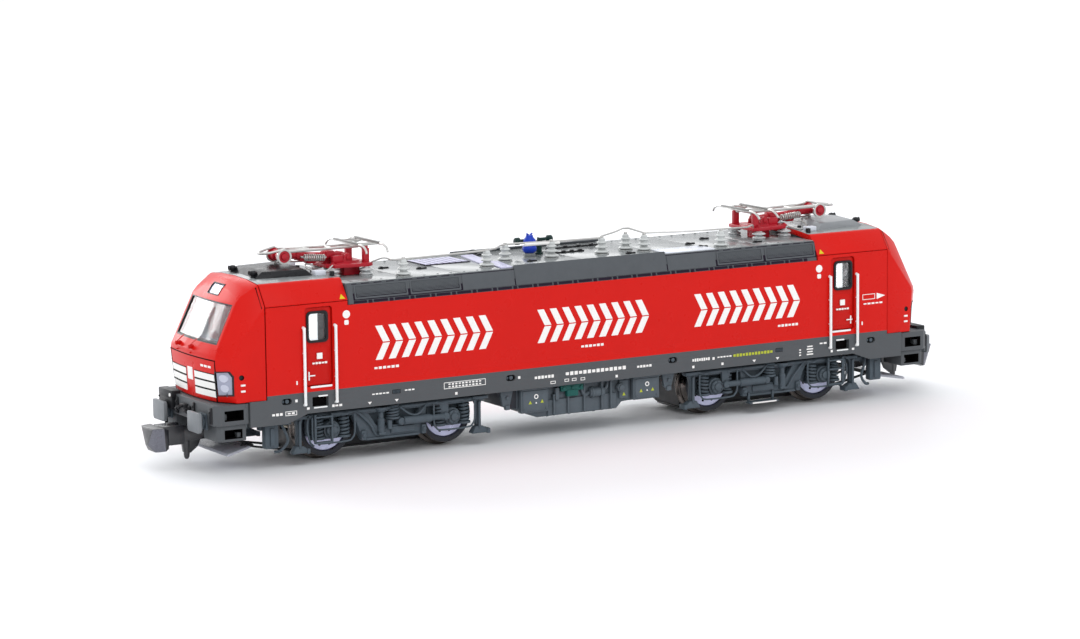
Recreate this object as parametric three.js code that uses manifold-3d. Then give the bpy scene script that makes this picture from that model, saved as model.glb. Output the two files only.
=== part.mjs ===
// N-scale (1:160) model of a four-axle electric locomotive.
// Millimetres, +Z up, X along the locomotive, origin on the ground under its middle.
// "Front" is the -X end. A piece that repeats at both ends is made once for the +X end,
// with x growing outwards, and mirrored for the front.
import * as THREE from "three";
import { mergeVertices } from "three/addons/utils/BufferGeometryUtils.js";
import { ConvexGeometry } from "three/addons/geometries/ConvexGeometry.js";
import Module from "manifold-3d";

const wasm = await Module();
wasm.setup();

// ---------------------------------------------------------------- driving dimensions

const GAP = 0.1; // play between pieces that touch
const body = {
  halfWidth: 9.3,
  wall: 1.0,
  sill: 7.3, // lower edge of the side between the cabs
  skirt: 6.2, // lower edge of the side under the cabs
  crease: 22.0, // where the side of a cab starts to lean inwards
  roofSeat: 21.4, // the same line between the cabs, where the roof section sits
  roofEdge: 7.35, // half width of the cab roof
  roofEdgeZ: 24.85,
  crown: 25.4,
  deck: 24.25, // flat roof between the cabs
  deckEnd: 37.9,
  seam: 50.2, // joint between the body side and the nose
  noseFloor: 9.6,
};
const wheel = { treadR: 3.9, flangeR: 4.45, innerY: 3.75, flangeY: 4.2, outerY: 5.9 };
const axleZ = wheel.flangeR;
const axleR = 0.8;
const pivotX = 30.7; // bogie pivot from the middle
const halfBase = 9.25; // half the bogie's wheelbase
const sideFrameY = { inner: 6.5, outer: 7.4 };
const ENDS = [["rear", 1], ["front", -1]];
const gear = { module: 0.4, addendum: 0.34, dedendum: 0.48, halfWidth: 1.0 };
const teeth = { centre: 16, idler: 14, axle: 14 };
const pitchR = (count) => (gear.module * count) / 2;
const centreGearZ = 10.38;
const idler = { x: 3.8, z: 5.74 };
const worm = { pitchR: 1.5, turns: 3.5, stepsPerTurn: 8 };
const shaftZ = centreGearZ + pitchR(teeth.centre) + worm.pitchR;
const shaftR = 0.75;
const towerR = 5.3; // the bogie turns on a round tower in the chassis
const pan = { pivotX: 33.9, pivotZ: 26.7, kneeX: 43.5, kneeZ: 27.5, headX: 31.6, headZ: 28.0 };
const stripZ = 28.7; // middle of the contact strips, pantograph folded
const rodPivot = { x: 34.95, z: 26.05 }; // control rod on the pantograph base
const coupler = { yawX: 50.8, pitchX: 53.6, z: 4.6, headEnd: 63.6 };

const colours = {
  red: [0xd8201c, 0.35, 0.0],
  slate: [0x54585a, 0.5, 0.0],
  roofGrey: [0xb4b6b2, 0.35, 0.1],
  black: [0x17181a, 0.5, 0.0],
  steel: [0xc6c8d6, 0.25, 1.0],
  brass: [0xb08a45, 0.35, 1.0],
  zinc: [0x8d9094, 0.45, 1.0],
  clear: [0xdfe8ee, 0.08, 0.0],
  panRed: [0xa81c2a, 0.4, 0.0],
  wire: [0xc9c9c3, 0.35, 0.6],
  blue: [0x1f3fae, 0.4, 0.0],
  green: [0x1e6b4a, 0.5, 0.0],
  ivory: [0xd8d4c4, 0.5, 0.0],
};
const materialOf = (name) => {
  const [color, roughness, metalness] = colours[name];
  return new THREE.MeshStandardMaterial({ color, roughness, metalness });
};

// ---------------------------------------------------------------- solids and booleans

function toSolid(geometry) {
  const bare = new THREE.BufferGeometry();
  bare.setAttribute("position", geometry.getAttribute("position"));
  if (geometry.index) bare.setIndex(geometry.index);
  const merged = mergeVertices(bare, 1e-4);
  return new wasm.Manifold(
    new wasm.Mesh({
      numProp: 3,
      vertProperties: merged.attributes.position.array,
      triVerts: new Uint32Array(merged.index.array),
    }),
  );
}

function toGeometry(solid) {
  const mesh = solid.getMesh();
  const positions = new Float32Array(mesh.numVert * 3);
  for (let i = 0; i < mesh.numVert; i++) {
    const at = i * mesh.numProp;
    positions.set(mesh.vertProperties.subarray(at, at + 3), i * 3);
  }
  const geometry = new THREE.BufferGeometry();
  geometry.setAttribute("position", new THREE.BufferAttribute(positions, 3));
  geometry.setIndex(new THREE.BufferAttribute(mesh.triVerts, 1));
  return geometry;
}

const join = (...solids) => solids.reduce((all, one) => all.add(one));
const cut = (solid, ...tools) => tools.reduce((left, tool) => left.subtract(tool), solid);

function box(x0, x1, y0, y1, z0, z1) {
  const geometry = new THREE.BoxGeometry(x1 - x0, y1 - y0, z1 - z0);
  geometry.translate((x0 + x1) / 2, (y0 + y1) / 2, (z0 + z1) / 2);
  return toSolid(geometry);
}

// A box on the +Y side and its mirror image on the -Y side.
const boxPair = (x0, x1, y0, y1, z0, z1) =>
  join(box(x0, x1, y0, y1, z0, z1), box(x0, x1, -y1, -y0, z0, z1));

const outline = (points) => new THREE.Shape(points.map(([a, b]) => new THREE.Vector2(a, b)));

// An outline in X and Z, extruded from y0 to y1.
function sidePrism(points, y0, y1) {
  const geometry = new THREE.ExtrudeGeometry(outline(points), {
    depth: y1 - y0,
    bevelEnabled: false,
  });
  geometry.rotateX(Math.PI / 2);
  geometry.translate(0, y1, 0);
  return toSolid(geometry);
}

// An outline in Y and Z, extruded from x0 to x1.
function endPrism(points, x0, x1) {
  const geometry = new THREE.ExtrudeGeometry(outline(points), {
    depth: x1 - x0,
    bevelEnabled: false,
  });
  geometry.rotateX(Math.PI / 2);
  geometry.rotateZ(Math.PI / 2);
  geometry.translate(x0, 0, 0);
  return toSolid(geometry);
}

const hull = (points) =>
  toSolid(new ConvexGeometry(points.map((p) => new THREE.Vector3(...p))));

// A round bar along one axis: centre c in the other two axes' order of X, Y, Z.
function bar(axis, r, from, to, centre, segments = 16, r2 = r) {
  const geometry = new THREE.CylinderGeometry(r2, r, to - from, segments);
  const middle = (from + to) / 2;
  if (axis === "x") {
    geometry.rotateZ(-Math.PI / 2);
    geometry.translate(middle, centre[0], centre[1]);
  } else if (axis === "y") {
    geometry.translate(centre[0], middle, centre[1]);
  } else {
    geometry.rotateX(Math.PI / 2);
    geometry.translate(centre[0], centre[1], middle);
  }
  return toSolid(geometry);
}

// A round rod between any two points.
function rod(a, b, r, segments = 6) {
  const from = new THREE.Vector3(...a);
  const along = new THREE.Vector3(...b).sub(from);
  const geometry = new THREE.CylinderGeometry(r, r, along.length(), segments);
  geometry.translate(0, along.length() / 2, 0);
  const turn = new THREE.Quaternion();
  turn.setFromUnitVectors(new THREE.Vector3(0, 1, 0), along.clone().normalize());
  geometry.applyQuaternion(turn);
  geometry.translate(from.x, from.y, from.z);
  return toSolid(geometry);
}

// A profile of [radius, height] turned about a vertical axis.
function turned(profile, segments, x = 0, y = 0) {
  const points = profile.map(([r, h]) => new THREE.Vector2(r, h));
  const geometry = new THREE.LatheGeometry(points, segments);
  geometry.rotateX(Math.PI / 2);
  geometry.translate(x, y, 0);
  return toSolid(geometry);
}

// ---------------------------------------------------------------- the scene graph

const locomotive = new THREE.Group();

function place(name, solid, colour, at = null, turnY = 0) {
  const mesh = new THREE.Mesh(toGeometry(solid), materialOf(colour));
  mesh.name = name;
  if (at) mesh.position.set(...at);
  mesh.rotation.y = turnY;
  locomotive.add(mesh);
  return mesh;
}

// A piece made for the +X end, placed there and mirrored to the front.
function placeAtBothEnds(name, solid, colour) {
  place(name + "_rear", solid, colour);
  place(name + "_front", solid, colour).scale.x = -1;
}

// ---------------------------------------------------------------- body shell

// Half outlines are listed from the bottom of the +Y side upwards and closed on the other side.
const bothSides = (half) => [
  ...half,
  ...half
    .slice()
    .reverse()
    .filter(([y]) => y > 0)
    .map(([y, z]) => [-y, z]),
];

const cabSection = (inset, floor) =>
  bothSides([
    [body.halfWidth - inset, floor],
    [body.halfWidth - inset, body.crease - inset * 0.3],
    [body.roofEdge - inset * 0.9, body.roofEdgeZ - inset],
    [4.0, body.crown - 0.12 - inset],
    [0, body.crown - inset],
  ]);

// The nose is convex: the cab's own section at the seam, then rings of [x, y, z] out to
// the brow. `inset` shrinks it all round, for the hollow inside and for what lines it.
function noseHull(inset, floor = body.noseFloor) {
  const rings = [
    [54.4, 9.05, floor],
    [54.9, 8.8, 15.3],
    [56.6, 6.99, 15.4],
    [57.1, 0, 15.4],
    [56.2, 6.3, floor],
    [56.8, 0, floor],
    [56.1, 6.78, 16.8],
    [56.55, 0, 16.8],
    [53.25, 6.73, 22.66],
    [53.65, 0, 22.75],
    [51.9, 6.6, 23.9],
    [51.6, 0, 25.15],
  ];
  const points = cabSection(inset, floor).map(([y, z]) => [body.seam, y, z]);
  for (const [x, y, z] of rings) {
    const inner = [x - inset, Math.max(0, y - inset), z > floor + 1 ? z - inset * 0.8 : z];
    points.push(inner, [inner[0], -inner[1], inner[2]]);
  }
  return hull(points);
}

const sideOfCab = (inset) => [
  [body.deckEnd + GAP, body.sill],
  [44.2, body.sill],
  [47.2, body.skirt],
  [body.seam + 2.5, body.skirt],
  [body.seam + 2.5, body.noseFloor + 0.1],
  [body.seam, body.noseFloor + 0.1],
  [body.seam, body.crown + 1],
  [body.deckEnd + GAP + inset, body.crown + 1],
];

const windscreen = (grow) => [
  [6.3 + grow, 17.2 - grow],
  [6.2 + grow, 22.35 + grow],
  [-6.2 - grow, 22.35 + grow],
  [-6.3 - grow, 17.2 - grow],
];
const doorWindow = { x0: 41.0, x1: 44.0, z0: 16.95, z1: 20.95 };
const headlight = { y0: 6.5, y1: 8.75, z0: 10.5, z1: 13.8 };
const topLamp = { half: 1.5, z0: 23.2, z1: 24.4 };

function cabEnd() {
  const section = endPrism(cabSection(0, body.skirt), body.deckEnd + GAP, body.seam + 2.5);
  const side = section.intersect(sidePrism(sideOfCab(0), -10, 10));
  const roofHood = hull(
    [-1, 1].flatMap((s) => [
      [40.9, s * 5.0, 24.9],
      [42.9, s * 4.4, 25.85],
      [48.6, s * 3.8, 25.95],
      [49.6, s * 4.4, 24.9],
    ]),
  );
  const shell = join(side, noseHull(0), roofHood);
  const hollow = join(
    endPrism(cabSection(body.wall, 5), body.deckEnd - 1, body.seam + 0.02),
    noseHull(body.wall, body.noseFloor - 1),
    box(body.seam - 1, body.seam + 4, -8.3, 8.3, 5, body.noseFloor + 0.5),
  );
  const doors = box(doorWindow.x0, doorWindow.x1, -10, 10, doorWindow.z0, doorWindow.z1);
  const lamps = boxPair(52.5, 60, headlight.y0, headlight.y1, headlight.z0, headlight.z1);
  const top = box(51, 54, -topLamp.half, topLamp.half, topLamp.z0, topLamp.z1);
  return cut(shell, hollow, doors, lamps, top, endPrism(windscreen(0), 51, 60));
}

function bodyShell() {
  const w = body.halfWidth;
  const top = body.roofSeat - GAP / 2;
  const middle = cut(
    box(-body.deckEnd - 0.2, body.deckEnd + 0.2, -w, w, body.sill, top),
    box(-body.deckEnd - 1, body.deckEnd + 1, -w + body.wall, w - body.wall, 5, 30),
  );
  const rear = cabEnd();
  const front = rear.mirror([1, 0, 0]);
  return join(middle, rear, front);
}
place("body_shell", bodyShell(), "red");

// The roof insert with its leaning louvre panels, hollow underneath.
function roofSection() {
  const base = body.roofSeat;
  const outside = bothSides([
    [body.halfWidth - 0.05, base],
    [8.75, 24.0],
    [8.4, body.deck],
    [0, body.deck],
  ]);
  const inside = bothSides([
    [body.halfWidth - body.wall, base - 1],
    [7.6, 23.3],
    [0, 23.4],
  ]);
  return cut(
    endPrism(outside, -body.deckEnd, body.deckEnd),
    endPrism(inside, -body.deckEnd + 1, body.deckEnd - 1),
  );
}
place("roof_section", roofSection(), "slate");

// One clear moulding per cab: a band inside the wall, panes that fill the openings
// and a rib under the roof that carries light to the top lamp.
function cabGlazing() {
  const outer = body.wall + GAP;
  const inner = outer + 0.5;
  const lower = box(39, 60, -10, 10, 5, 15.8);
  const band = cut(
    join(endPrism(cabSection(outer, 12), 40.2, body.seam + 0.05), noseHull(outer)),
    join(endPrism(cabSection(inner, 11), 39, body.seam + 0.05), noseHull(inner)),
    lower,
    box(39, 53.0, 1.3, 6.3, 22.6, 26),
    box(39, 53.0, -6.3, -1.3, 22.6, 26),
  );
  const pane = cut(
    noseHull(0.2).intersect(endPrism(windscreen(-GAP), 51, 60)),
    noseHull(inner - 0.2),
  );
  const lamp = cut(
    noseHull(0.1).intersect(
      box(51, 54, GAP - topLamp.half, topLamp.half - GAP, topLamp.z0 + GAP, topLamp.z1 - GAP),
    ),
    noseHull(inner - 0.2),
  );
  const { x0, x1, z0, z1 } = doorWindow;
  const side = boxPair(x0 + GAP, x1 - GAP, 8.0, 9.15, z0 + GAP, z1 - GAP);
  return join(band, pane, lamp, side);
}
placeAtBothEnds("cab_glazing", cabGlazing(), "clear");

// A clear bar behind the nose that carries the light to both headlamps.
function lightGuide() {
  const { y0, y1, z0, z1 } = headlight;
  const lens = noseHull(0.1).intersect(
    boxPair(52.9, 60, y0 + GAP, y1 - GAP, z0 + GAP, z1 - GAP),
  );
  const crossbar = box(52.9, 53.9, -7.2, 7.2, 11.0, 12.4);
  return join(lens, crossbar);
}
placeAtBothEnds("light_guide", lightGuide(), "clear");

// ---------------------------------------------------------------- buffer beams and buffers

function bufferBeam() {
  const inner = body.seam + 2.6;
  const beam = hull(
    [-1, 1].flatMap((s) => [
      [inner, s * 9.0, 4.3],
      [inner, s * 9.0, 9.5],
      [56.6, s * 8.9, 4.3],
      [56.6, s * 8.9, 9.5],
      [57.7, s * 7.4, 4.3],
      [57.7, s * 7.4, 9.5],
    ]),
  );
  const openings = [
    box(inner - 1, 60, -7.9, 7.9, 4, 6.15),
    box(inner - 1, 56.9, -7.9, 7.9, 4, 8.9),
    boxPair(53.5, 56.2, 7.0, 10, 7.4, 8.9),
    boxPair(53.5, 56.2, 7.0, 10, 4.8, 5.8),
    box(inner - 1, 60, -3.4, 3.4, 4, 6.6),
  ];
  return cut(beam, ...openings);
}
placeAtBothEnds("buffer_beam", bufferBeam(), "slate");

const buffer = { y: 5.47, z: 7.1, face: 59.3, halfWidth: 1.8, halfHeight: 1.35 };
function bufferPiece() {
  const { y, z, face, halfWidth, halfHeight } = buffer;
  const head = box(face - 0.6, face, y - halfWidth, y + halfWidth, z - halfHeight, z + halfHeight);
  const flange = box(57.8, 58.2, y - 1.3, y + 1.3, z - 1.0, z + 1.0);
  return join(head, flange, bar("x", 0.85, 58.1, face - 0.5, [y, z], 12));
}
for (const [side, sy] of [["left", 1], ["right", -1]]) {
  for (const [end, sx] of ENDS) {
    place(`buffer_${end}_${side}`, bufferPiece(), "slate").scale.set(sx, sy, 1);
  }
}

// ---------------------------------------------------------------- chassis, motor and board

function chassisFrame() {
  const block = join(
    box(-39.4, 39.4, -7.6, 7.6, 9.7, 20.6),
    box(-52.3, 52.3, -7.6, 7.6, 9.7, 13.2),
    box(-13.2, 13.2, -7.6, 7.6, 7.6, 9.8),
  );
  const motorBay = box(-9.2, 9.2, -5.6, 5.6, 9.9, 22);
  const bearingR = shaftR + GAP;
  const rear = [
    box(9.1, 16.6, -5.0, 5.0, 10.2, 22), // flywheel bay
    bar("x", bearingR, 9, 38, [0, shaftZ], 12),
    box(16, 38, -bearingR, bearingR, shaftZ, 22), // the shaft drops in from above
    box(pivotX - 3.9, pivotX + 3.9, -2.3, 2.3, 12, 22), // worm bay
    bar("z", towerR + GAP, 9, 13.4, [pivotX, 0], 20),
    bar("z", 1.0, 9, 11.8, [coupler.yawX, 0], 12),
  ];
  return cut(block, motorBay, ...rear, ...rear.map((tool) => tool.mirror([1, 0, 0])));
}
place("chassis_frame", chassisFrame(), "zinc");

place(
  "motor_case",
  cut(
    box(-8.6, 8.6, -5.2, 5.2, 10.6, 19.6),
    bar("x", shaftR, -9, 9, [0, shaftZ], 12),
    bar("x", 3.9, -7.2, 7.2, [0, shaftZ], 20),
    box(-3, 3, 0, 6, 14, 16),
  ),
  "zinc",
);
place(
  "motor_shaft",
  join(
    bar("x", shaftR - 0.05, -15.3, 15.3, [0, shaftZ], 12),
    bar("x", 3.5, -6.4, 5.0, [0, shaftZ], 20),
    bar("x", 1.6, 5.0, 6.8, [0, shaftZ], 12),
  ),
  "brass",
);
function flywheel() {
  return cut(
    bar("x", 4.2, 9.9, 16.2, [0, shaftZ], 18),
    bar("x", shaftR + 0.02, 9, 15.4, [0, shaftZ], 12),
    bar("x", 1.35, 15.4, 17, [0, shaftZ], 12),
  );
}
placeAtBothEnds("flywheel", flywheel(), "brass");
place("circuit_board", box(-36.5, 36.5, -6.8, 6.8, 20.75, 21.55), "green");

// ---------------------------------------------------------------- drive gears

const gearPin = bar("y", 0.6, -2.0, 2.0, [0, 0], 8);

// A spur gear about Y with one tooth centred on the angle `phase`, measured from X towards Z.
function spurGear(count, phase) {
  const r = pitchR(count);
  const tip = r + gear.addendum;
  const root = r - gear.dedendum;
  const step = (2 * Math.PI) / count;
  const points = [];
  for (let i = 0; i < count; i++) {
    const middle = phase + i * step;
    const at = (radius, share) => {
      const angle = middle + share * step;
      points.push([radius * Math.cos(angle), radius * Math.sin(angle)]);
    };
    at(root, -0.25);
    at(tip, -0.09);
    at(tip, 0.09);
    at(root, 0.25);
  }
  return sidePrism(points, -gear.halfWidth, gear.halfWidth);
}

// The phase of gear B that puts it in mesh with gear A, where B lies at `direction` from A.
function meshPhase(phaseA, teethA, teethB, direction) {
  const offset = -Math.PI - teethA * (phaseA - direction);
  return direction + Math.PI + offset / teethB;
}

const centrePhase = Math.PI / 2 + Math.PI / teeth.centre; // a gap faces the worm
const angleTo = (dx, dz) => Math.atan2(dz, dx);

function wormPiece() {
  const pitch = Math.PI * gear.module;
  const rootR = worm.pitchR - 0.5;
  const tipR = worm.pitchR + gear.addendum;
  const section = [
    [rootR - 0.15, -0.2],
    [tipR, -0.07],
    [tipR, 0.07],
    [rootR - 0.15, 0.2],
  ];
  const steps = worm.turns * worm.stepsPerTurn;
  const positions = [];
  const index = [];
  for (let i = 0; i <= steps; i++) {
    const turn = i / worm.stepsPerTurn - worm.turns / 2;
    const angle = turn * 2 * Math.PI - Math.PI / 2; // the thread is lowest at x = 0
    for (const [r, share] of section) {
      positions.push((turn + share) * pitch, r * Math.cos(angle), r * Math.sin(angle));
    }
  }
  const corners = section.length;
  for (let i = 0; i < steps; i++) {
    for (let j = 0; j < corners; j++) {
      const a = i * corners + j;
      const b = i * corners + ((j + 1) % corners);
      index.push(a, a + corners, b, b, a + corners, b + corners);
    }
  }
  const last = steps * corners;
  index.push(0, 1, 2, 0, 2, 3, last, last + 2, last + 1, last, last + 3, last + 2);
  const geometry = new THREE.BufferGeometry();
  geometry.setAttribute("position", new THREE.Float32BufferAttribute(positions, 3));
  geometry.setIndex(index);
  const thread = toSolid(geometry);
  const core = bar("x", rootR, -3.4, 3.4, [0, 0], 11);
  return join(thread, core);
}

// Each worm shaft runs in the chassis and ends in the flywheel's cup.
for (const [end, s] of ENDS) {
  const towardsMotor = s * (16.0 - pivotX);
  const away = s * 6.4;
  const shaft = bar(
    "x",
    shaftR,
    Math.min(towardsMotor, away),
    Math.max(towardsMotor, away),
    [0, 0],
    12,
  );
  place("worm_" + end, join(wormPiece(), shaft), "brass", [s * pivotX, 0, shaftZ]);
}

for (const [end, s] of ENDS) {
  const at = (x, z) => [s * pivotX + x, 0, z];
  const centreGear = join(spurGear(teeth.centre, centrePhase), gearPin);
  place("worm_wheel_" + end, centreGear, "ivory", at(0, centreGearZ));
  [["outer", s], ["inner", -s]].forEach(([where, side]) => {
    const toIdler = angleTo(side * idler.x, idler.z - centreGearZ);
    const idlerPhase = meshPhase(centrePhase, teeth.centre, teeth.idler, toIdler);
    const toAxle = angleTo(side * (halfBase - idler.x), axleZ - idler.z);
    const axlePhase = meshPhase(idlerPhase, teeth.idler, teeth.axle, toAxle);
    place(
      `idler_gear_${end}_${where}`,
      join(spurGear(teeth.idler, idlerPhase), gearPin),
      "ivory",
      at(side * idler.x, idler.z),
    );
    const rim = cut(spurGear(teeth.axle, axlePhase), bar("y", axleR + 0.06, -3, 3, [0, 0], 12));
    place(`axle_gear_${end}_${where}`, rim, "ivory", at(side * halfBase, axleZ));
  });
}

// ---------------------------------------------------------------- wheelsets

// Tread, flange, a dished disc and the axle, as a profile turned about Y.
function wheelPair() {
  const { treadR, flangeR, innerY, flangeY, outerY } = wheel;
  const side = [
    [flangeR, innerY],
    [flangeR, flangeY - 0.1],
    [treadR, flangeY + 0.1],
    [treadR - 0.08, outerY],
    [3.2, outerY],
    [2.9, outerY - 0.6],
    [0, outerY - 0.6],
  ];
  const profile = [
    ...side.slice().reverse().map(([r, h]) => [r, -h]),
    [axleR, -innerY],
    [axleR, innerY],
    ...side,
  ].map(([r, h]) => new THREE.Vector2(r, h));
  const geometry = new THREE.LatheGeometry(profile, 20);
  return toSolid(geometry);
}
for (const [end, s] of ENDS) {
  for (const [where, side] of [["outer", s], ["inner", -s]]) {
    const x = s * pivotX + side * halfBase;
    place(`wheel_pair_${end}_${where}`, wheelPair(), "steel", [x, 0, axleZ]);
  }
}

// ---------------------------------------------------------------- bogies

// x here is measured outwards from the bogie's pivot.
function gearcase() {
  const legs = sidePrism(
    [
      [-12.6, 1.25],
      [12.6, 1.25],
      [12.6, 6.6],
      [6.6, 8.6],
      [-6.6, 8.6],
      [-12.6, 6.6],
    ],
    -3.2,
    3.2,
  );
  const tower = bar("z", towerR, 8.3, 12.6, [0, 0], 20);
  const clear = gear.addendum + 0.35;
  const cavity = [
    [0, centreGearZ, teeth.centre],
    [idler.x, idler.z, teeth.idler],
    [-idler.x, idler.z, teeth.idler],
    [halfBase, axleZ, teeth.axle],
    [-halfBase, axleZ, teeth.axle],
  ].map(([x, z, count]) => bar("y", pitchR(count) + clear, -1.25, 1.25, [x, z], 14));
  const bearings = [
    bar("y", 0.68, -2.2, 2.2, [0, centreGearZ], 12),
    bar("y", 0.68, -2.2, 2.2, [idler.x, idler.z], 12),
    bar("y", 0.68, -2.2, 2.2, [-idler.x, idler.z], 12),
  ];
  const axles = [-halfBase, halfBase].map((x) =>
    join(
      bar("y", axleR + GAP, -4, 4, [x, axleZ], 12),
      box(x - axleR - GAP, x + axleR + GAP, -4, 4, 1, axleZ),
      box(x - 3.3, x + 3.3, -1.25, 1.25, 1, axleZ),
    ),
  );
  const wormOpening = box(-3.3, 3.3, -2.2, 2.2, 12.2 - 1.6, 13);
  return cut(join(legs, tower), ...cavity, ...bearings, ...axles, wormOpening);
}

// The plate that closes the gearcase and holds the axles, with the vee of the rail guard.
function keeperPlate() {
  const plate = box(-12.6, 12.6, -3.1, 3.1, 0.75, 1.15);
  const tongue = box(12.0, 22.2, -1.2, 1.2, 0.75, 1.15);
  const riser = box(21.4, 22.2, -1.2, 1.2, 1.0, 2.6);
  const blade = (s) =>
    hull([
      [25.3, 0, 1.9],
      [24.7, 0, 1.9],
      [24.3, 0, 3.1],
      [23.7, 0, 3.1],
      [21.2, s * 6.5, 1.9],
      [20.6, s * 6.5, 1.9],
      [20.4, s * 7.0, 3.1],
      [19.8, s * 7.0, 3.1],
    ]);
  const brace = box(21.4, 24.6, -1.0, 1.0, 2.2, 2.6);
  return join(plate, tongue, riser, brace, blade(1), blade(-1));
}

// Stretchers carry the side frames on the gearcase and enter a slot in each.
const stretcher = { half: 1.3, z0: 3.4, z1: 5.6, innerY: 3.0, outerY: 6.6 };

function stretchers() {
  const { half, z0, z1, innerY, outerY } = stretcher;
  const bars = boxPair(-half, half, innerY, outerY, z0, z1);
  return cut(bars, box(-2, 2, -innerY - GAP, innerY + GAP, z0 - 1, z1 + 1));
}

// One side frame with its axle boxes, spring seats, steps and sand pipes, on the +Y side.
function sideFrame() {
  const { inner, outer } = sideFrameY;
  const plate = sidePrism(
    [
      [-13.6, 6.9],
      [-13.6, 6.0],
      [-13.1, 5.6],
      [-13.1, 2.4],
      [-12.3, 2.4],
      [-12.3, 5.8],
      [-5.6, 5.8],
      [-4.4, 2.6],
      [4.4, 2.6],
      [5.6, 5.8],
      [13.0, 5.8],
      [13.0, 2.2],
      [14.2, 2.2],
      [14.2, 5.4],
      [17.4, 5.4],
      [17.4, 2.8],
      [19.2, 2.8],
      [19.2, 5.9],
      [13.2, 5.9],
      [12.6, 6.9],
    ].reverse(),
    inner,
    outer,
  );
  const boxes = [-halfBase, halfBase].map((x) =>
    join(
      bar("y", 1.45, inner, 8.2, [x, axleZ], 12),
      box(x - 2.6, x + 2.6, inner, 7.9, 3.9, 5.0),
      box(x - 2.6, x - 1.4, 6.9, 7.9, 4.5, 6.3),
      box(x + 1.4, x + 2.6, 6.9, 7.9, 4.5, 6.3),
    ),
  );
  const damper = join(bar("x", 0.55, -4.6, 5.4, [7.75, 4.7], 8), box(-1, 1, 7.2, 7.8, 3.4, 6.4));
  const ladder = join(
    box(9.5, 9.85, 7.2, 8.9, 3.4, 6.9),
    box(11.85, 12.2, 7.2, 8.9, 3.4, 6.9),
    box(9.7, 12.0, 7.9, 8.9, 3.4, 3.75),
    box(9.7, 12.0, 7.9, 8.9, 5.3, 5.6),
  );
  const feet = join(
    box(12.7, 15.4, inner, 7.6, 1.7, 2.4),
    box(-14.2, -11.6, inner, 7.6, 1.75, 2.5),
  );
  const { half, z0, z1, outerY } = stretcher;
  const slot = box(-half - GAP, half + GAP, inner - 1, outerY + GAP, z0 - GAP, z1 + GAP);
  return cut(join(plate, ...boxes, damper, ladder, feet), slot);
}

for (const [end, s] of ENDS) {
  const bogie = new THREE.Group();
  bogie.position.x = s * pivotX;
  bogie.scale.x = s;
  locomotive.add(bogie);
  const add = (name, solid, colour, mirrored = false) => {
    const mesh = new THREE.Mesh(toGeometry(solid), materialOf(colour));
    mesh.name = name;
    if (mirrored) mesh.scale.y = -1;
    bogie.add(mesh);
  };
  add("gearcase_" + end, join(gearcase(), stretchers()), "black");
  add("keeper_plate_" + end, keeperPlate(), "black");
  add(`side_frame_${end}_left`, sideFrame(), "slate");
  add(`side_frame_${end}_right`, sideFrame(), "slate", true);
}

// ---------------------------------------------------------------- underframe equipment

function underframeTank() {
  const side = sidePrism(
    [
      [-14.6, 7.2],
      [-12.4, 4.5],
      [-11.1, 4.4],
      [-8.0, 2.9],
      [4.9, 2.9],
      [5.8, 3.8],
      [11.6, 4.0],
      [11.6, 7.2],
    ],
    -8.0,
    8.0,
  );
  const middle = boxPair(-6.6, 6.9, 7.3, 9, 4.6, 8);
  const cabinets = join(
    boxPair(-11.1, -6.7, 7.5, 8.6, 3.9, 7.2),
    boxPair(7.0, 11.0, 7.5, 8.6, 4.1, 7.2),
  );
  const pipes = join(...[-7.7, 7.7].map((y) => bar("x", 0.45, -1.0, 3.5, [y, 6.0], 8)));
  const seat = box(-13.6, 11.4, -7.7, 7.7, 7.0, 7.5);
  return join(cut(side, middle), cabinets, pipes, seat);
}
place("underframe_tank", underframeTank(), "slate");

// ---------------------------------------------------------------- roof equipment

// Two sheds on a stem.
const insulator = (x, y, z0, height, r = 0.95) => {
  const h = (share) => z0 + share * height;
  return turned(
    [
      [0, h(0)],
      [r, h(0)],
      [r, h(0.15)],
      [r * 0.5, h(0.3)],
      [r * 0.95, h(0.42)],
      [r * 0.45, h(0.62)],
      [r * 0.8, h(0.74)],
      [r * 0.45, h(1)],
      [0, h(1)],
    ],
    7,
    x,
    y,
  );
};

// [x, y] of each insulator under the roof wire, front to rear.
const busPosts = [
  [-27.9, -6.4],
  [-14.3, -5.3],
  [-9.3, -1.6],
  [-2.4, -2.6],
  [5.5, -3.1],
  [10.4, -1.5],
  [12.0, -3.9],
  [23.3, -6.4],
];
const busWire = [
  [-29.6, -5.4, 26.5],
  ...busPosts.map(([x, y]) => [x, y, body.deck + 2.45]),
  [29.0, -4.6, 26.4],
];
place(
  "roof_busbar",
  join(
    ...busPosts.map(([x, y]) => insulator(x, y, body.deck, 2.6)),
    ...busWire.slice(1).map((point, i) => rod(busWire[i], point, 0.2, 5)),
  ),
  "ivory",
);
const breaker = { x: -4.1, y: 0.6, armHalf: 3.4, armZ: 26.65, capZ: 26.9, top: 27.5 };
place(
  "circuit_breaker",
  join(
    bar("z", 0.95, body.deck, breaker.capZ, [breaker.x, breaker.y], 10),
    bar("x", 0.5, breaker.x - breaker.armHalf, breaker.x + breaker.armHalf, [1.0, breaker.armZ], 8),
    bar("z", 0.6, breaker.capZ - 0.2, breaker.top, [breaker.x, breaker.y], 8),
  ),
  "blue",
);

// ---------------------------------------------------------------- pantographs

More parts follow.
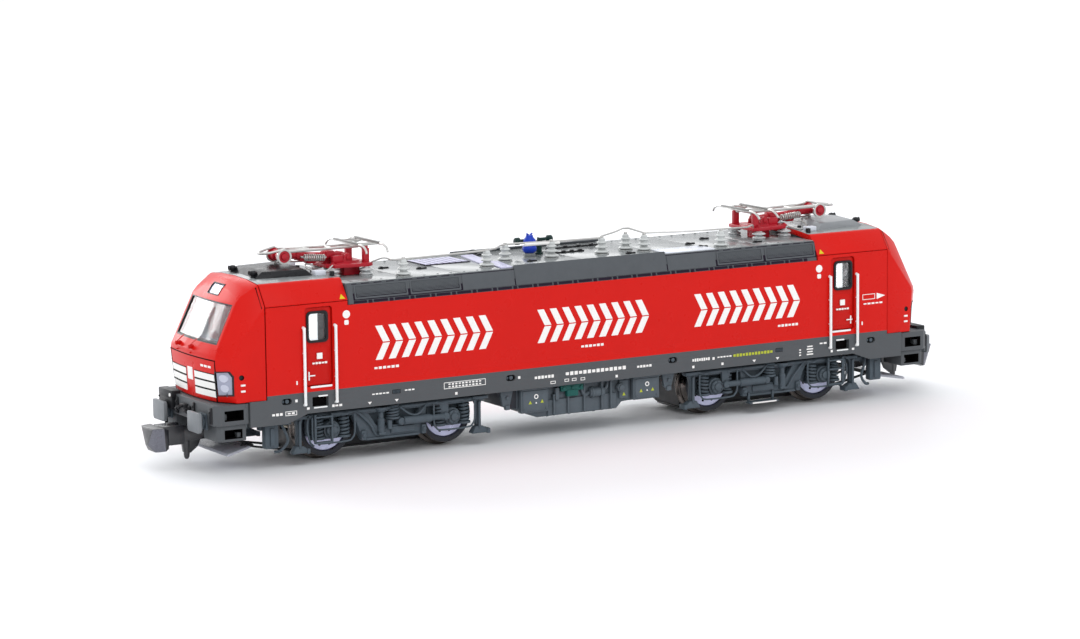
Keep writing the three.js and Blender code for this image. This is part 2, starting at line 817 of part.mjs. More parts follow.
function pantographBase() {
  const deck = body.deck;
  const feet = [
    [31.9, 3.2],
    [31.9, -3.2],
    [36.7, 2.6],
    [36.7, -2.6],
  ].map(([x, y]) => insulator(x, y, deck, 1.35, 1.1));
  const frame = cut(
    box(30.2, 39.4, -3.9, 3.9, 25.5, 25.9),
    box(34.8, 37.0, -2.2, 2.2, 25, 26),
  );
  const pedestal = box(31.4, 33.9, -1.2, 1.2, deck, 25.5);
  const ears = boxPair(33.2, 34.7, 1.3, 1.7, 25.7, 27.1);
  const posts = boxPair(31.0, 31.9, 2.0, 2.7, 25.7, 27.6);
  const bore = bar("y", 0.42, -3, 3, [pan.pivotX, pan.pivotZ], 8);
  return cut(join(...feet, frame, pedestal, ears, posts), bore);
}
placeAtBothEnds("pantograph_base", pantographBase(), "panRed");

function lowerArm() {
  const { pivotX: px, pivotZ: pz, kneeX, kneeZ } = pan;
  return join(
    rod([px, 0, pz], [kneeX, 0, kneeZ], 0.48, 8),
    bar("y", 0.6, -1.15, 1.15, [px, pz], 8),
    bar("y", 0.34, -1.65, 1.65, [px, pz], 8),
    bar("y", 0.45, -1.9, 1.9, [kneeX, kneeZ], 8),
    bar("y", 0.75, 0.4, 1.2, [kneeX, kneeZ], 8),
  );
}

// Two tubes from the knee to the head, with end rings round the knee's pin.
function upperArm() {
  const { kneeX, kneeZ, headX, headZ } = pan;
  const ring = (s) =>
    cut(
      bar("y", 0.95, Math.min(s * 1.35, s * 1.75), Math.max(s * 1.35, s * 1.75), [kneeX, kneeZ], 10),
      bar("y", 0.55, -3, 3, [kneeX, kneeZ], 10),
    );
  const tube = (s) => rod([kneeX - 0.8, s * 1.55, kneeZ + 0.15], [headX, s * 1.0, headZ], 0.24, 6);
  const cross = (share) => {
    const x = kneeX + (headX - kneeX) * share;
    const z = kneeZ + (headZ - kneeZ) * share + 0.12;
    return bar("y", 0.18, -1.3, 1.3, [x, z], 6);
  };
  return join(
    ring(1),
    ring(-1),
    tube(1),
    tube(-1),
    cross(0.86),
    bar("y", 0.3, -1.3, 1.3, [headX, headZ], 8),
    bar("y", 0.16, -2.15, 2.15, [headX, headZ], 8),
  );
}

// Two contact strips with horns that turn down at their ends, on eyes round the arm's pin.
function contactHead() {
  const { headX, headZ } = pan;
  const upper = bothSides([
    [6.1, stripZ - 0.9],
    [5.5, stripZ - 0.1],
    [4.4, stripZ + 0.2],
  ]);
  const lower = bothSides([
    [5.8, stripZ - 1.05],
    [5.3, stripZ - 0.45],
    [4.3, stripZ - 0.2],
  ]).reverse();
  const strip = (x) => endPrism([...upper, ...lower], x - 0.25, x + 0.25);
  const side = (s) => {
    const near = Math.min(s * 1.5, s * 2.1);
    const far = Math.max(s * 1.5, s * 2.1);
    const tie = box(headX - 1.6, headX + 1.6, near, far, stripZ - 0.15, stripZ + 0.1);
    const hanger = box(headX - 0.25, headX + 0.25, near, far, headZ, stripZ);
    const eye = bar("y", 0.4, near, far, [headX, headZ], 8);
    return cut(join(tie, hanger, eye), bar("y", 0.22, near - 1, far + 1, [headX, headZ], 8));
  };
  return join(strip(headX - 1.6), strip(headX + 1.6), side(1), side(-1));
}

// The thin rod under the lower arm; its knee end stays open.
function controlRod() {
  return join(
    rod([rodPivot.x, 0.95, rodPivot.z], [pan.kneeX, 0.95, 26.45], 0.16, 6),
    bar("y", 0.26, 0.75, 1.15, [rodPivot.x, rodPivot.z], 8),
  );
}
placeAtBothEnds("pantograph_lower_arm", lowerArm(), "panRed");
placeAtBothEnds("pantograph_upper_arm", upperArm(), "wire");
placeAtBothEnds("pantograph_head", contactHead(), "wire");
placeAtBothEnds("pantograph_control_rod", controlRod(), "wire");

// ---------------------------------------------------------------- couplers

// The pocket swings sideways on a pin in the chassis; the hook lifts on trunnions inside it.
function couplerPocket() {
  const { yawX, pitchX, z } = coupler;
  return cut(
    join(
      bar("z", 0.9, z - 0.9, 11.6, [yawX, 0], 12),
      box(yawX - 0.9, yawX + 0.9, -1.3, 1.3, z - 0.9, z + 0.9),
      boxPair(yawX, pitchX + 0.6, 0.75, 1.3, z - 0.9, z + 0.9),
    ),
    bar("y", 0.4, -2, 2, [pitchX, z], 8),
  );
}
placeAtBothEnds("coupler_pocket", couplerPocket(), "black");

function couplerHook() {
  const { pitchX, z, headEnd } = coupler;
  const shank = join(
    box(pitchX - 0.5, 60.6, -0.6, 0.6, z - 0.7, z + 0.8),
    box(54.8, 60.6, -1.4, 1.4, z - 0.8, z + 0.9),
    bar("y", 0.32, -1.2, 1.2, [pitchX, z], 8),
  );
  const head = hull(
    [-1, 1].flatMap((s) => [
      [59.7, s * 1.7, 2.6],
      [59.7, s * 1.7, 6.2],
      [60.6, s * 2.3, 2.6],
      [60.6, s * 2.3, 6.2],
      [61.4, s * 2.3, 2.6],
      [headEnd, s * 2.3, 4.4],
      [headEnd, s * 2.3, 5.6],
      [62.2, s * 2.3, 6.2],
    ]),
  );
  const pin = bar("z", 0.42, 1.15, z, [57.8, 0], 10);
  const fin = sidePrism([[55.4, 3.9], [57.4, 2.9], [57.4, 3.9]], -0.3, 0.3);
  return join(shank, head, pin, fin);
}
placeAtBothEnds("coupler_hook", couplerHook(), "black");

export default locomotive;
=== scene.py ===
"""Visual model of an N-scale (1:160) four-axle electric locomotive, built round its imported
CAD frame. Shapes are worked out in millimetres, in the frame's own axes: X along the
locomotive, front cab at -X, Z up. A piece that repeats at both ends is made for the +X end
and mirrored for the front."""

import math

import bmesh
import bpy
from mathutils import Matrix, Vector
from mathutils.geometry import tessellate_polygon


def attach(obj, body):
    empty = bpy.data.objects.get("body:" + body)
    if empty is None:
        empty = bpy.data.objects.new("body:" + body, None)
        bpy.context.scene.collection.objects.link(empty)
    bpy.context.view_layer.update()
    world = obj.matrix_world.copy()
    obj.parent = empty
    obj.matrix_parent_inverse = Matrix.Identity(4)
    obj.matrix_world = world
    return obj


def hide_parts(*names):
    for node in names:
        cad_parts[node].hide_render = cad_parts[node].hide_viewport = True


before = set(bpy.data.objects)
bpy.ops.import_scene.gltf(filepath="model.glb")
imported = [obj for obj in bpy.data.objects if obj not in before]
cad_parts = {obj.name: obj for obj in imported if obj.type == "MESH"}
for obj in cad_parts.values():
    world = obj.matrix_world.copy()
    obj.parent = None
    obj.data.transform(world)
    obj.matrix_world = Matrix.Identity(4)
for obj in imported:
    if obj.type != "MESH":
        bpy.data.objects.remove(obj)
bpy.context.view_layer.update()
MM = 0.001
PAINTS = 6
ENDS = (("rear", 1), ("front", -1))
SIDES = (("left", 1), ("right", -1))

# ------------------------------------------------------------------ camera, light and floor


def make_camera():
    """A long lens, low over the front right-hand corner and turned very slightly clockwise."""
    azimuth, elevation, roll = (math.radians(a) for a in (-30.143, 8.799, -0.634))
    target = Vector((-2.869, 0.0, 15.208)) * MM
    distance = 528.56 * MM
    back = Vector(
        (
            math.sin(azimuth) * math.cos(elevation),
            -math.cos(azimuth) * math.cos(elevation),
            math.sin(elevation),
        )
    )
    right = Vector((math.cos(azimuth), math.sin(azimuth), 0.0))
    up = back.cross(right)
    turned_right = right * math.cos(roll) + up * math.sin(roll)
    turned_up = up * math.cos(roll) - right * math.sin(roll)
    data = bpy.data.cameras.new("camera")
    data.sensor_width = 36.0
    data.lens = 125.29
    data.clip_start = 0.01
    camera = bpy.data.objects.new("camera", data)
    axes = Matrix((turned_right, turned_up, back)).transposed()
    camera.matrix_world = Matrix.Translation(target + back * distance) @ axes.to_4x4()
    bpy.context.scene.collection.objects.link(camera)
    bpy.context.scene.camera = camera


def area_light(name, place, size, power, colour=(1.0, 1.0, 1.0)):
    """A softbox at `place` (metres) that looks at the locomotive."""
    data = bpy.data.lights.new(name, "AREA")
    data.shape = "RECTANGLE"
    data.size, data.size_y = size
    data.energy = power
    data.color = colour
    lamp = bpy.data.objects.new(name, data)
    lamp.location = place
    lamp.rotation_euler = (-Vector(place)).to_track_quat("-Z", "Y").to_euler()
    bpy.context.scene.collection.objects.link(lamp)


def make_studio():
    world = bpy.data.worlds.new("studio")
    world.use_nodes = True
    background = world.node_tree.nodes["Background"]
    background.inputs["Color"].default_value = (0.97, 0.98, 1.0, 1.0)
    background.inputs["Strength"].default_value = 0.93
    scene = bpy.context.scene
    scene.world = world
    scene.view_settings.view_transform = "Standard"
    sun = bpy.data.lights.new("window_sun", "SUN")
    sun.energy = 0.62
    sun.angle = math.radians(50)
    lamp = bpy.data.objects.new("window_sun", sun)
    lamp.rotation_euler = Vector((0.12, 0.66, -0.74)).to_track_quat("-Z", "Y").to_euler()
    scene.collection.objects.link(lamp)
    area_light("top", (0.1, 0.3, 0.8), (1.0, 0.5), 0.8)
    area_light("back_card", (0.0, 0.75, 0.42), (1.1, 0.3), 2.0)
    area_light("screen_card", (-0.2, 0.58, 0.19), (0.22, 0.28), 1.15)

    mesh = bpy.data.meshes.new("floor")
    half = 6.0
    corners = [(-half, -half, 0), (half, -half, 0), (half, half, 0), (-half, half, 0)]
    mesh.from_pydata(corners, [], [(0, 1, 2, 3)])
    floor = bpy.data.objects.new("floor", mesh)
    floor.data.materials.append(floor_material())
    scene.collection.objects.link(floor)


# ------------------------------------------------------------------ materials


def linear(hex_colour):
    """A hex sRGB colour as linear RGBA."""
    values = [int(hex_colour[i : i + 2], 16) / 255 for i in (0, 2, 4)]
    return [v / 12.92 if v <= 0.04045 else ((v + 0.055) / 1.055) ** 2.4 for v in values] + [1.0]


class Surface:
    """A node material with a Principled shader, built up one effect at a time."""

    def __init__(self, name, colour, roughness, metallic=0.0, shine=0.25):
        self.material = bpy.data.materials.new(name)
        self.material.use_nodes = True
        tree = self.material.node_tree
        self.nodes, self.links = tree.nodes, tree.links
        self.shader = tree.nodes["Principled BSDF"]
        self.colour = linear(colour)
        self.roughness = roughness
        self.shader.inputs["Base Color"].default_value = self.colour
        self.shader.inputs["Roughness"].default_value = roughness
        self.shader.inputs["Metallic"].default_value = metallic
        self.shader.inputs["Specular IOR Level"].default_value = shine if metallic < 0.5 else 0.5
        self.where = self.nodes.new("ShaderNodeTexCoord").outputs["Object"]

    def set(self, **sockets):
        """Values straight on the shader, such as coat_weight=0.4."""
        for name, value in sockets.items():
            self.shader.inputs[name.replace("_", " ").title().replace("Ior", "IOR")].default_value = value
        return self

    def lit(self, strength):
        """A faint glow of its own colour: painted light for the lined inside of a closed cab, standing in for
        daylight that comes in through the windows.
        """
        self.shader.inputs["Emission Color"].default_value = self.colour
        self.shader.inputs["Emission Strength"].default_value = strength
        return self

    def noise(self, size_mm, detail=3.0, stretch=(1, 1, 1)):
        """Noise whose blotches are about size_mm wide, as a 0 to 1 value."""
        mapping = self.nodes.new("ShaderNodeMapping")
        mapping.inputs["Scale"].default_value = [1 / (size_mm * MM * s) for s in stretch]
        self.links.new(self.where, mapping.inputs["Vector"])
        noise = self.nodes.new("ShaderNodeTexNoise")
        noise.inputs["Scale"].default_value = 1.0
        noise.inputs["Detail"].default_value = detail
        self.links.new(mapping.outputs["Vector"], noise.inputs["Vector"])
        return noise.outputs["Fac"]

    def remap(self, value, low, high, start=0.3, end=0.7):
        node = self.nodes.new("ShaderNodeMapRange")
        node.inputs["From Min"].default_value = start
        node.inputs["From Max"].default_value = end
        node.inputs["To Min"].default_value = low
        node.inputs["To Max"].default_value = high
        self.links.new(value, node.inputs["Value"])
        return node.outputs["Result"]

    def tint(self, factor, other, blend="MIX"):
        """Mixes the colour so far with another, by a 0 to 1 factor."""
        mix = self.nodes.new("ShaderNodeMix")
        mix.data_type = "RGBA"
        mix.blend_type = blend
        socket = self.shader.inputs["Base Color"]
        if socket.links:
            self.links.new(socket.links[0].from_socket, mix.inputs["A"])
        else:
            mix.inputs["A"].default_value = socket.default_value
        mix.inputs["B"].default_value = other
        self.links.new(factor, mix.inputs["Factor"])
        self.links.new(mix.outputs["Result"], socket)
        return self

    def mottle(self, size_mm, amount):
        """Patches a little lighter and darker than the base colour."""
        dark = [c * (1 - amount) for c in self.colour[:3]] + [1.0]
        light = [min(1.0, c * (1 + amount)) for c in self.colour[:3]] + [1.0]
        self.tint(self.remap(self.noise(size_mm), 0, 1), dark)
        self.tint(self.remap(self.noise(size_mm * 0.37, 2.0), 0, 0.6), light)
        return self

    def gloss(self, size_mm, spread):
        """Roughness that wanders by `spread` either way."""
        value = self.remap(self.noise(size_mm, 4.0), self.roughness - spread, self.roughness + spread)
        self.links.new(value, self.shader.inputs["Roughness"])
        return self

    def grain(self, size_mm, height_um, stretch=(1, 1, 1)):
        """Fine relief: moulding texture, orange peel or turning marks."""
        bump = self.nodes.new("ShaderNodeBump")
        bump.inputs["Distance"].default_value = height_um * 1e-6
        bump.inputs["Strength"].default_value = 1.0
        self.links.new(self.noise(size_mm, 2.0, stretch), bump.inputs["Height"])
        self.links.new(bump.outputs["Normal"], self.shader.inputs["Normal"])
        return self

    def occlusion_shade(self, reach_mm, colour, amount=0.8):
        """Painted shade: darkens the colour towards `colour` where surfaces meet and hide each other from the
        light, found by ambient occlusion.
        """
        ao = self.nodes.new("ShaderNodeAmbientOcclusion")
        ao.samples = 6
        ao.inputs["Distance"].default_value = reach_mm * MM
        near = self.remap(ao.outputs["AO"], amount, 0.0, 0.25, 0.95)
        return self.tint(near, linear(colour))


def moulded(name, colour, roughness=0.5, spread=0.07, amount=0.07, grain_um=3.0):
    """Injection-moulded plastic: faint mottling, uneven sheen and a fine texture."""
    surface = Surface(name, colour, roughness)
    return surface.mottle(2.6, amount).gloss(1.1, spread).grain(0.12, grain_um)


def sprayed(name, colour, roughness=0.3, shine=0.14):
    """Sprayed satin paint with slight orange peel."""
    surface = Surface(name, colour, roughness, 0.0, shine).mottle(7.0, 0.03).gloss(2.3, 0.05)
    return surface.grain(0.35, 1.6)


def metal(name, colour, roughness=0.28, stretch=(1, 1, 1)):
    surface = Surface(name, colour, roughness, 1.0).mottle(1.8, 0.1).gloss(0.7, 0.08)
    return surface.grain(0.09, 2.0, stretch)


def printed(name, colour):
    """Pad-printed ink: dense, slightly matt, a touch uneven."""
    return Surface(name, colour, 0.45).mottle(0.8, 0.03).gloss(0.5, 0.06).grain(0.08, 1.0).material


def clear(name, colour, roughness=0.03):
    """Clear moulding with faint flow marks."""
    surface = Surface(name, colour, roughness).mottle(2.0, 0.02).grain(1.6, 1.5)
    return surface.set(transmission_weight=1.0, ior=1.9, alpha=0.5).material


def floor_material():
    surface = Surface("floor_card", "F4F5F7", 0.55).mottle(90.0, 0.008).grain(0.8, 6.0)
    return surface.material


def make_materials():
    """Every finish of the locomotive, by name."""
    dark = "0B0C0E"
    # Materials with ambient-occlusion darkening carry painted shade where surfaces meet.
    m = {
        "red": sprayed("body_red", "D01811"),
        "deep_red": sprayed("door_red", "C41610"),
        "sill": sprayed("sill_grey", "56595C", 0.42),
        "deck": sprayed("roof_silver_grey", "85898A", 0.2, 0.4),
        "panel": moulded("roof_panel_grey", "53575B", 0.5).occlusion_shade(0.5, "202225", 0.7),
        # Near-black for slots and gaps on the roof: painted shade inside the openings.
        "slot": Surface("gap_shade_violet_black", "241C2A", 0.7, 0.0, 0.1).mottle(0.8, 0.1).grain(0.1, 2.0),
        # Dark joints, and also the near-black backs of the step pockets, sockets and beam openings: painted
        # shade inside the holes.
        "seam": Surface("seam_and_hollow_shade_black", "0D0A0B", 0.8, 0.0, 0.05).mottle(0.8, 0.1).grain(0.1, 2.0),
        "black": moulded("moulded_black", "1F2023", 0.42, 0.08, 0.15),
        "hook": moulded("coupler_black", "1C1D22", 0.34, 0.08, 0.1).set(specular_ior_level=0.9),
        "blade": moulded("guard_silver", "B2B4BE", 0.3, 0.08, 0.06),
        "bogie": moulded("bogie_blue_grey", "4C565E", 0.5, 0.1, 0.12, 4.0).occlusion_shade(0.5, dark, 0.45),
        "tank": moulded("tank_grey", "565F66", 0.5, 0.1, 0.1, 4.0).occlusion_shade(0.5, dark, 0.4),
        "buffer": moulded("buffer_grey", "7C8084", 0.45, 0.08, 0.08).occlusion_shade(0.4, "2A2B2E", 0.6),
        # Painted light: the cab grey glows faintly, standing in for daylight inside the closed cab.
        "cab": moulded("cab_grey", "6E7284", 0.55).lit(0.1),
        "lining": moulded("cab_lining", "F2F4F4", 0.4),
        # Painted reflection: glowing white panels behind the windows stand in for the bright glare on the
        # glass.
        "painted_glare": moulded("window_blind", "F4F6F8", 0.4).lit(0.75),
        "white": printed("ink_white", "F4F3F0"),
        "yellow": printed("ink_yellow", "D9C21E"),
        "lime": printed("ink_lime", "B5BE3A"),
        "glass": clear("window_clear", "EEF4F6"),
        "lens": moulded("lamp_lens", "9FA3B6", 0.16, 0.05, 0.05, 1.0).set(coat_weight=0.5),
        "lamp": moulded("lamp_bowl", "C3C6D6", 0.2, 0.05, 0.03, 1.0).set(coat_weight=0.5),
        "tyre": metal("wheel_tyre", "77706C", 0.22).occlusion_shade(0.3, "2A2522", 0.5),
        # Also used on the tank's end walls as painted shade.
        "rim": Surface("wheel_rim_and_tank_end_shade", "2B2E35", 0.4, 0.0, 0.3).mottle(1.0, 0.15).grain(0.2, 2.0),
        "disc": metal("wheel_disc", "B4B7D0", 0.34).occlusion_shade(0.5, "20222A", 0.6),
        "steel": metal("bright_steel", "C9CACC", 0.25),
        "brass": metal("turned_brass", "C9A456", 0.28, (0.3, 1, 1)),
        "zinc": metal("cast_zinc", "6F7275", 0.5).occlusion_shade(1.5, dark, 0.6),
        "gear": moulded("gear_acetal", "D8D2BE", 0.45).occlusion_shade(0.4, "4A4438", 0.5),
        "board": moulded("board_lacquer", "1E6B43", 0.3),
        "carbon": moulded("carbon_strip", "8B8A88", 0.4),
        "pan_red": sprayed("pantograph_red", "B41C2C", 0.34, 0.3),
        "wire": Surface("plated_wire", "C6C5C2", 0.3, 0.6, 0.5).mottle(0.8, 0.1).grain(0.2, 2.0),
        "valve": moulded("valve_green", "1A5A54", 0.4).occlusion_shade(0.3, "061412", 0.4),
        # Painted highlight for the facets of the coupler head that face forward and sideways.
        "face": moulded("coupler_painted_highlight", "5C5D68", 0.28, 0.08, 0.1).set(specular_ior_level=0.8),
        "porcelain": moulded("insulator_grey", "CDD0CF", 0.25, 0.06, 0.05, 1.5)
        .occlusion_shade(0.3, "7E8280", 0.4),
        "milk": moulded("insulator_milk", "E4E7E8", 0.15, 0.04, 0.03, 1.0)
        .set(transmission_weight=0.35, coat_weight=0.5)
        ,
        "blue": moulded("breaker_blue", "1B3FB8", 0.32).occlusion_shade(0.3, "081038", 0.7),
        "teal": moulded("breaker_teal", "16302D", 0.4).occlusion_shade(0.3, "061412", 0.5),
        "lilac": moulded("roof_lilac", "B9B8D2", 0.35).occlusion_shade(0.3, "4C4B58", 0.3),
        "hood_black": moulded("hood_black", "1B1C1F", 0.3, 0.06, 0.15, 2.0),
        "hood_grey": moulded("hood_grey", "8B8E91", 0.2, 0.05, 0.05, 1.5),
        "pale": moulded("roof_pale", "DDE1EA", 0.25),
    }
    return {name: getattr(made, "material", made) for name, made in m.items()}


# ------------------------------------------------------------------ mesh building


def arc(centre, radius, start, end, steps):
    """Points on an arc in a plane, from one angle to another in degrees."""
    for i in range(steps + 1):
        angle = math.radians(start + (end - start) * i / steps)
        yield (centre[0] + radius * math.cos(angle), centre[1] + radius * math.sin(angle))


def rounded(u0, u1, v0, v1, r, steps=4):
    """A rectangle with round corners, as a list of points."""
    corners = ((u1 - r, v0 + r, -90), (u1 - r, v1 - r, 0), (u0 + r, v1 - r, 90), (u0 + r, v0 + r, 180))
    return [p for cu, cv, a in corners for p in arc((cu, cv), r, a, a + 90, steps)]


def smooth_path(points, steps=6):
    """A Catmull-Rom curve through the points."""
    pts = [Vector(p) for p in points]
    pts = [pts[0] * 2 - pts[1], *pts, pts[-1] * 2 - pts[-2]]
    path = []
    for a, b, c, d in zip(pts, pts[1:], pts[2:], pts[3:]):
        for i in range(steps):
            t = i / steps
            path.append(
                0.5
                * (
                    2 * b
                    + (c - a) * t
                    + (2 * a - 5 * b + 4 * c - d) * t**2
                    + (3 * b - a - 3 * c + d) * t**3
                )
            )
    return [*path, pts[-2]]


PLANES = {
    "xy": lambda u, v, w: (u, v, w),
    "xz": lambda u, v, w: (u, w, v),
    "yz": lambda u, v, w: (w, u, v),
}
AXES = {
    "x": lambda a, b, h: (h, a, b),
    "y": lambda a, b, h: (a, h, b),
    "z": lambda a, b, h: (a, b, h),
}


class Form:
    """A mesh under construction, in millimetres. New faces take the material number `paint`."""

    def __init__(self, paint=0):
        self.bm = bmesh.new()
        self.paint = paint

    def add(self, points, faces, bevel=0.0, segments=2, angle=25.0):
        verts = [self.bm.verts.new(p) for p in points]
        for face in faces:
            made = self.bm.faces.new([verts[i] for i in face])
            made.material_index = self.paint
        if bevel > 0:
            self.soften(verts, bevel, segments, angle)
        return self

    def soften(self, verts, bevel, segments=2, angle=25.0):
        """Rounds the edges between these vertices where the surface turns sharply."""
        edges = {e for v in verts for e in v.link_edges}
        faces = {f for e in edges for f in e.link_faces}
        bmesh.ops.recalc_face_normals(self.bm, faces=list(faces))
        limit = math.radians(angle)
        sharp = [e for e in edges if len(e.link_faces) == 2 and e.calc_face_angle() > limit]
        bmesh.ops.bevel(
            self.bm,
            geom=sharp,
            offset=bevel,
            segments=segments,
            profile=0.5,
            affect="EDGES",
            clamp_overlap=True,
            material=-1,
        )

    def box(self, x0, x1, y0, y1, z0, z1, bevel=0.05):
        points = [(x, y, z) for x in (x0, x1) for y in (y0, y1) for z in (z0, z1)]
        faces = ((0, 1, 3, 2), (4, 6, 7, 5), (0, 4, 5, 1), (2, 3, 7, 6), (0, 2, 6, 4), (1, 5, 7, 3))
        return self.add(points, faces, bevel)

    def plate(self, outline, near, far, plane="xz", holes=(), bevel=0.05, place=None, segments=2):
        """A flat plate with holes: (u, v) outlines given thickness from near to far."""
        place = place or PLANES[plane]
        loops = [list(outline), *[list(hole) for hole in holes]]
        flat = [p for loop in loops for p in loop]
        count = len(flat)
        points = [place(u, v, near) for u, v in flat] + [place(u, v, far) for u, v in flat]
        if holes:
            caps = [tuple(t) for t in tessellate_polygon([[(*p, 0) for p in loop] for loop in loops])]
        else:
            caps = [tuple(range(count))]
        faces = list(caps) + [tuple(i + count for i in reversed(cap)) for cap in caps]
        start = 0
        for loop in loops:
            n = len(loop)
            for i in range(n):
                a, b = start + i, start + (i + 1) % n
                faces.append((a, b, b + count, a + count))
            start += n
        return self.add(points, faces, bevel, segments)

    def turned(self, profile, axis="z", centre=(0, 0), segments=24, closed=False):
        """A profile of (radius, height) turned about an axis; `closed` joins its two ends."""
        place = AXES[axis]
        rings, points, faces = [], [], []
        for r, h in profile:
            count = segments if r > 1e-6 else 1
            ring = []
            for i in range(count):
                angle = 2 * math.pi * i / segments
                ring.append(len(points))
                a, b = centre[0] + r * math.cos(angle), centre[1] + r * math.sin(angle)
                points.append(place(a, b, h))
            rings.append(ring)
        pairs = list(zip(rings, rings[1:]))
        if closed:
            pairs.append((rings[-1], rings[0]))
        for low, high in pairs:
            for i in range(segments):
                j = (i + 1) % segments
                corners = [low[i % len(low)], low[j % len(low)], high[j % len(high)], high[i % len(high)]]
                unique = list(dict.fromkeys(corners))
                if len(unique) > 2:
                    faces.append(unique)
        return self.add(points, faces)

    def drum(self, axis, centre, r, start, end, segments=20, bevel=0.06):
        """A round bar with eased rims."""
        b = min(bevel, r * 0.45, abs(end - start) * 0.45)
        s = b if end > start else -b
        profile = [(0, start), (r - b, start), (r - b * 0.3, start + s * 0.3), (r, start + s)]
        profile += [(r, end - s), (r - b * 0.3, end - s * 0.3), (r - b, end), (0, end)]
        return self.turned(profile, axis, centre, segments)

    def pipe(self, path, r, segments=8):
        """A round tube along a path of points, closed at both ends."""
        pts = [Vector(p) for p in path]
        points, faces = [], []
        ahead = (pts[1] - pts[0]).normalized()
        side = ahead.orthogonal().normalized()
        for i, point in enumerate(pts):
            before = (point - pts[i - 1]).normalized() if i else ahead
            after = (pts[i + 1] - point).normalized() if i + 1 < len(pts) else before
            along = (before + after).normalized()
            side = (side - along * side.dot(along)).normalized()
            other = along.cross(side)
            widen = 1 / max(0.5, math.cos(before.angle(after, 0.0) / 2))
            for k in range(segments):
                angle = 2 * math.pi * k / segments
                points.append(point + (side * math.cos(angle) + other * math.sin(angle)) * r * widen)
        for i in range(len(pts) - 1):
            for k in range(segments):
                a, b = i * segments + k, i * segments + (k + 1) % segments
                faces.append((a, b, b + segments, a + segments))
        last = (len(pts) - 1) * segments
        faces.append(tuple(reversed(range(segments))))
        faces.append(tuple(range(last, last + segments)))
        return self.add(points, faces)

    def spring(self, x, y, low, high, r, wire, turns=5):
        """An upright coil spring."""
        steps = turns * 12
        path = []
        for i in range(steps + 1):
            angle = 2 * math.pi * i / 12
            height = low + wire + (high - low - 2 * wire) * i / steps
            path.append((x + r * math.cos(angle), y + r * math.sin(angle), height))
        return self.pipe(path, wire, 6)

    def hull(self, points, bevel=0.0, segments=3, angle=12.0):
        """The convex solid round some points, its flat parts merged and its edges rounded."""
        made = bmesh.new()
        for p in points:
            made.verts.new(p)
        result = bmesh.ops.convex_hull(made, input=made.verts)
        inner = result["geom_interior"] + result["geom_unused"]
        spare = [g for g in inner if isinstance(g, bmesh.types.BMVert)]
        bmesh.ops.delete(made, geom=list(set(spare)), context="VERTS")
        bmesh.ops.dissolve_limit(made, angle_limit=math.radians(1.0), verts=made.verts, edges=made.edges)
        made.verts.index_update()
        verts = [tuple(v.co) for v in made.verts]
        faces = [[v.index for v in f.verts] for f in made.faces]
        made.free()
        return self.add(verts, faces, bevel, segments, angle)

    def carve(self, tool, operation="DIFFERENCE"):
        """Cuts this form with another one, or keeps only what they share."""
        pair = []
        for form in (self, tool):
            bmesh.ops.recalc_face_normals(form.bm, faces=form.bm.faces)
            mesh = bpy.data.meshes.new("carving")
            form.bm.to_mesh(mesh)
            for _ in range(PAINTS):
                mesh.materials.append(None)
            obj = bpy.data.objects.new("carving", mesh)
            bpy.context.scene.collection.objects.link(obj)
            pair.append(obj)
        cutter = pair[0].modifiers.new("carve", "BOOLEAN")
        cutter.operation = operation
        cutter.solver = "EXACT"
        cutter.object = pair[1]
        depsgraph = bpy.context.evaluated_depsgraph_get()
        result = bpy.data.meshes.new_from_object(pair[0].evaluated_get(depsgraph))
        self.bm.clear()
        self.bm.from_mesh(result)
        for obj in pair:
            bpy.data.objects.remove(obj)
        tool.bm.free()
        return self

    def repaint(self, choose):
        """Sets each face's material number from its centre."""
        for face in self.bm.faces:
            number = choose(face.calc_center_median(), face.normal)
            if number is not None:
                face.material_index = number
        return self

    def slice_at(self, point, normal):
        """Adds an edge loop where a plane crosses the form, for a change of colour."""
        geom = [*self.bm.verts, *self.bm.edges, *self.bm.faces]
        bmesh.ops.bisect_plane(self.bm, geom=geom, plane_co=point, plane_no=normal)
        return self

    def finish(self, name, body, slot, materials, replaces=(), flip_x=False, flip_y=False, sharp=32.0):
        """Makes the scene object, in metres, riding on its body."""
        bmesh.ops.recalc_face_normals(self.bm, faces=self.bm.faces)
        size = Matrix.Diagonal((-MM if flip_x else MM, -MM if flip_y else MM, MM, 1.0))
        bmesh.ops.transform(self.bm, matrix=size, verts=self.bm.verts)
        if flip_x != flip_y:
            bmesh.ops.reverse_faces(self.bm, faces=self.bm.faces)
        mesh = bpy.data.meshes.new(name)
        self.bm.to_mesh(mesh)
        self.bm.free()
        for material in materials:
            mesh.materials.append(material)
        mesh.polygons.foreach_set("use_smooth", [True] * len(mesh.polygons))
        mesh.set_sharp_from_angle(angle=math.radians(sharp))
        obj = bpy.data.objects.new(name, mesh)
        bpy.context.scene.collection.objects.link(obj)
        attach(obj, body)
        if replaces:
            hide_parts(*replaces)
        return obj


make_camera()
make_studio()
M = make_materials()


# ------------------------------------------------------------------ body sides and doors

SIDE_Y = 9.3
WALL = 1.0
SEAM_X = 50.15
CAB_X = 38.0
CREASE_Z = 22.0
ROOF_SEAT_Z = 21.42
COLOUR_Z = 10.2
DOOR = (40.4, 44.3, 11.0, 21.45)
DOOR_WINDOW = (41.0, 44.0, 16.85, 20.9)
STEP_HOLE = (41.1, 43.5, 8.1, 9.45)
SOCKETS = ((-47.3, 9.2), (-13.0, 9.15), (13.3, 9.2), (47.3, 9.0))


def grown(area, margin):
    x0, x1, z0, z1 = area
    return (x0 - margin, x1 + margin, z0 - margin, z1 + margin)


def both_ends(area):
    """An area given for the +X end, and its mirror at the front."""
    x0, x1, z0, z1 = area
    return (area, (-x1, -x0, z0, z1))


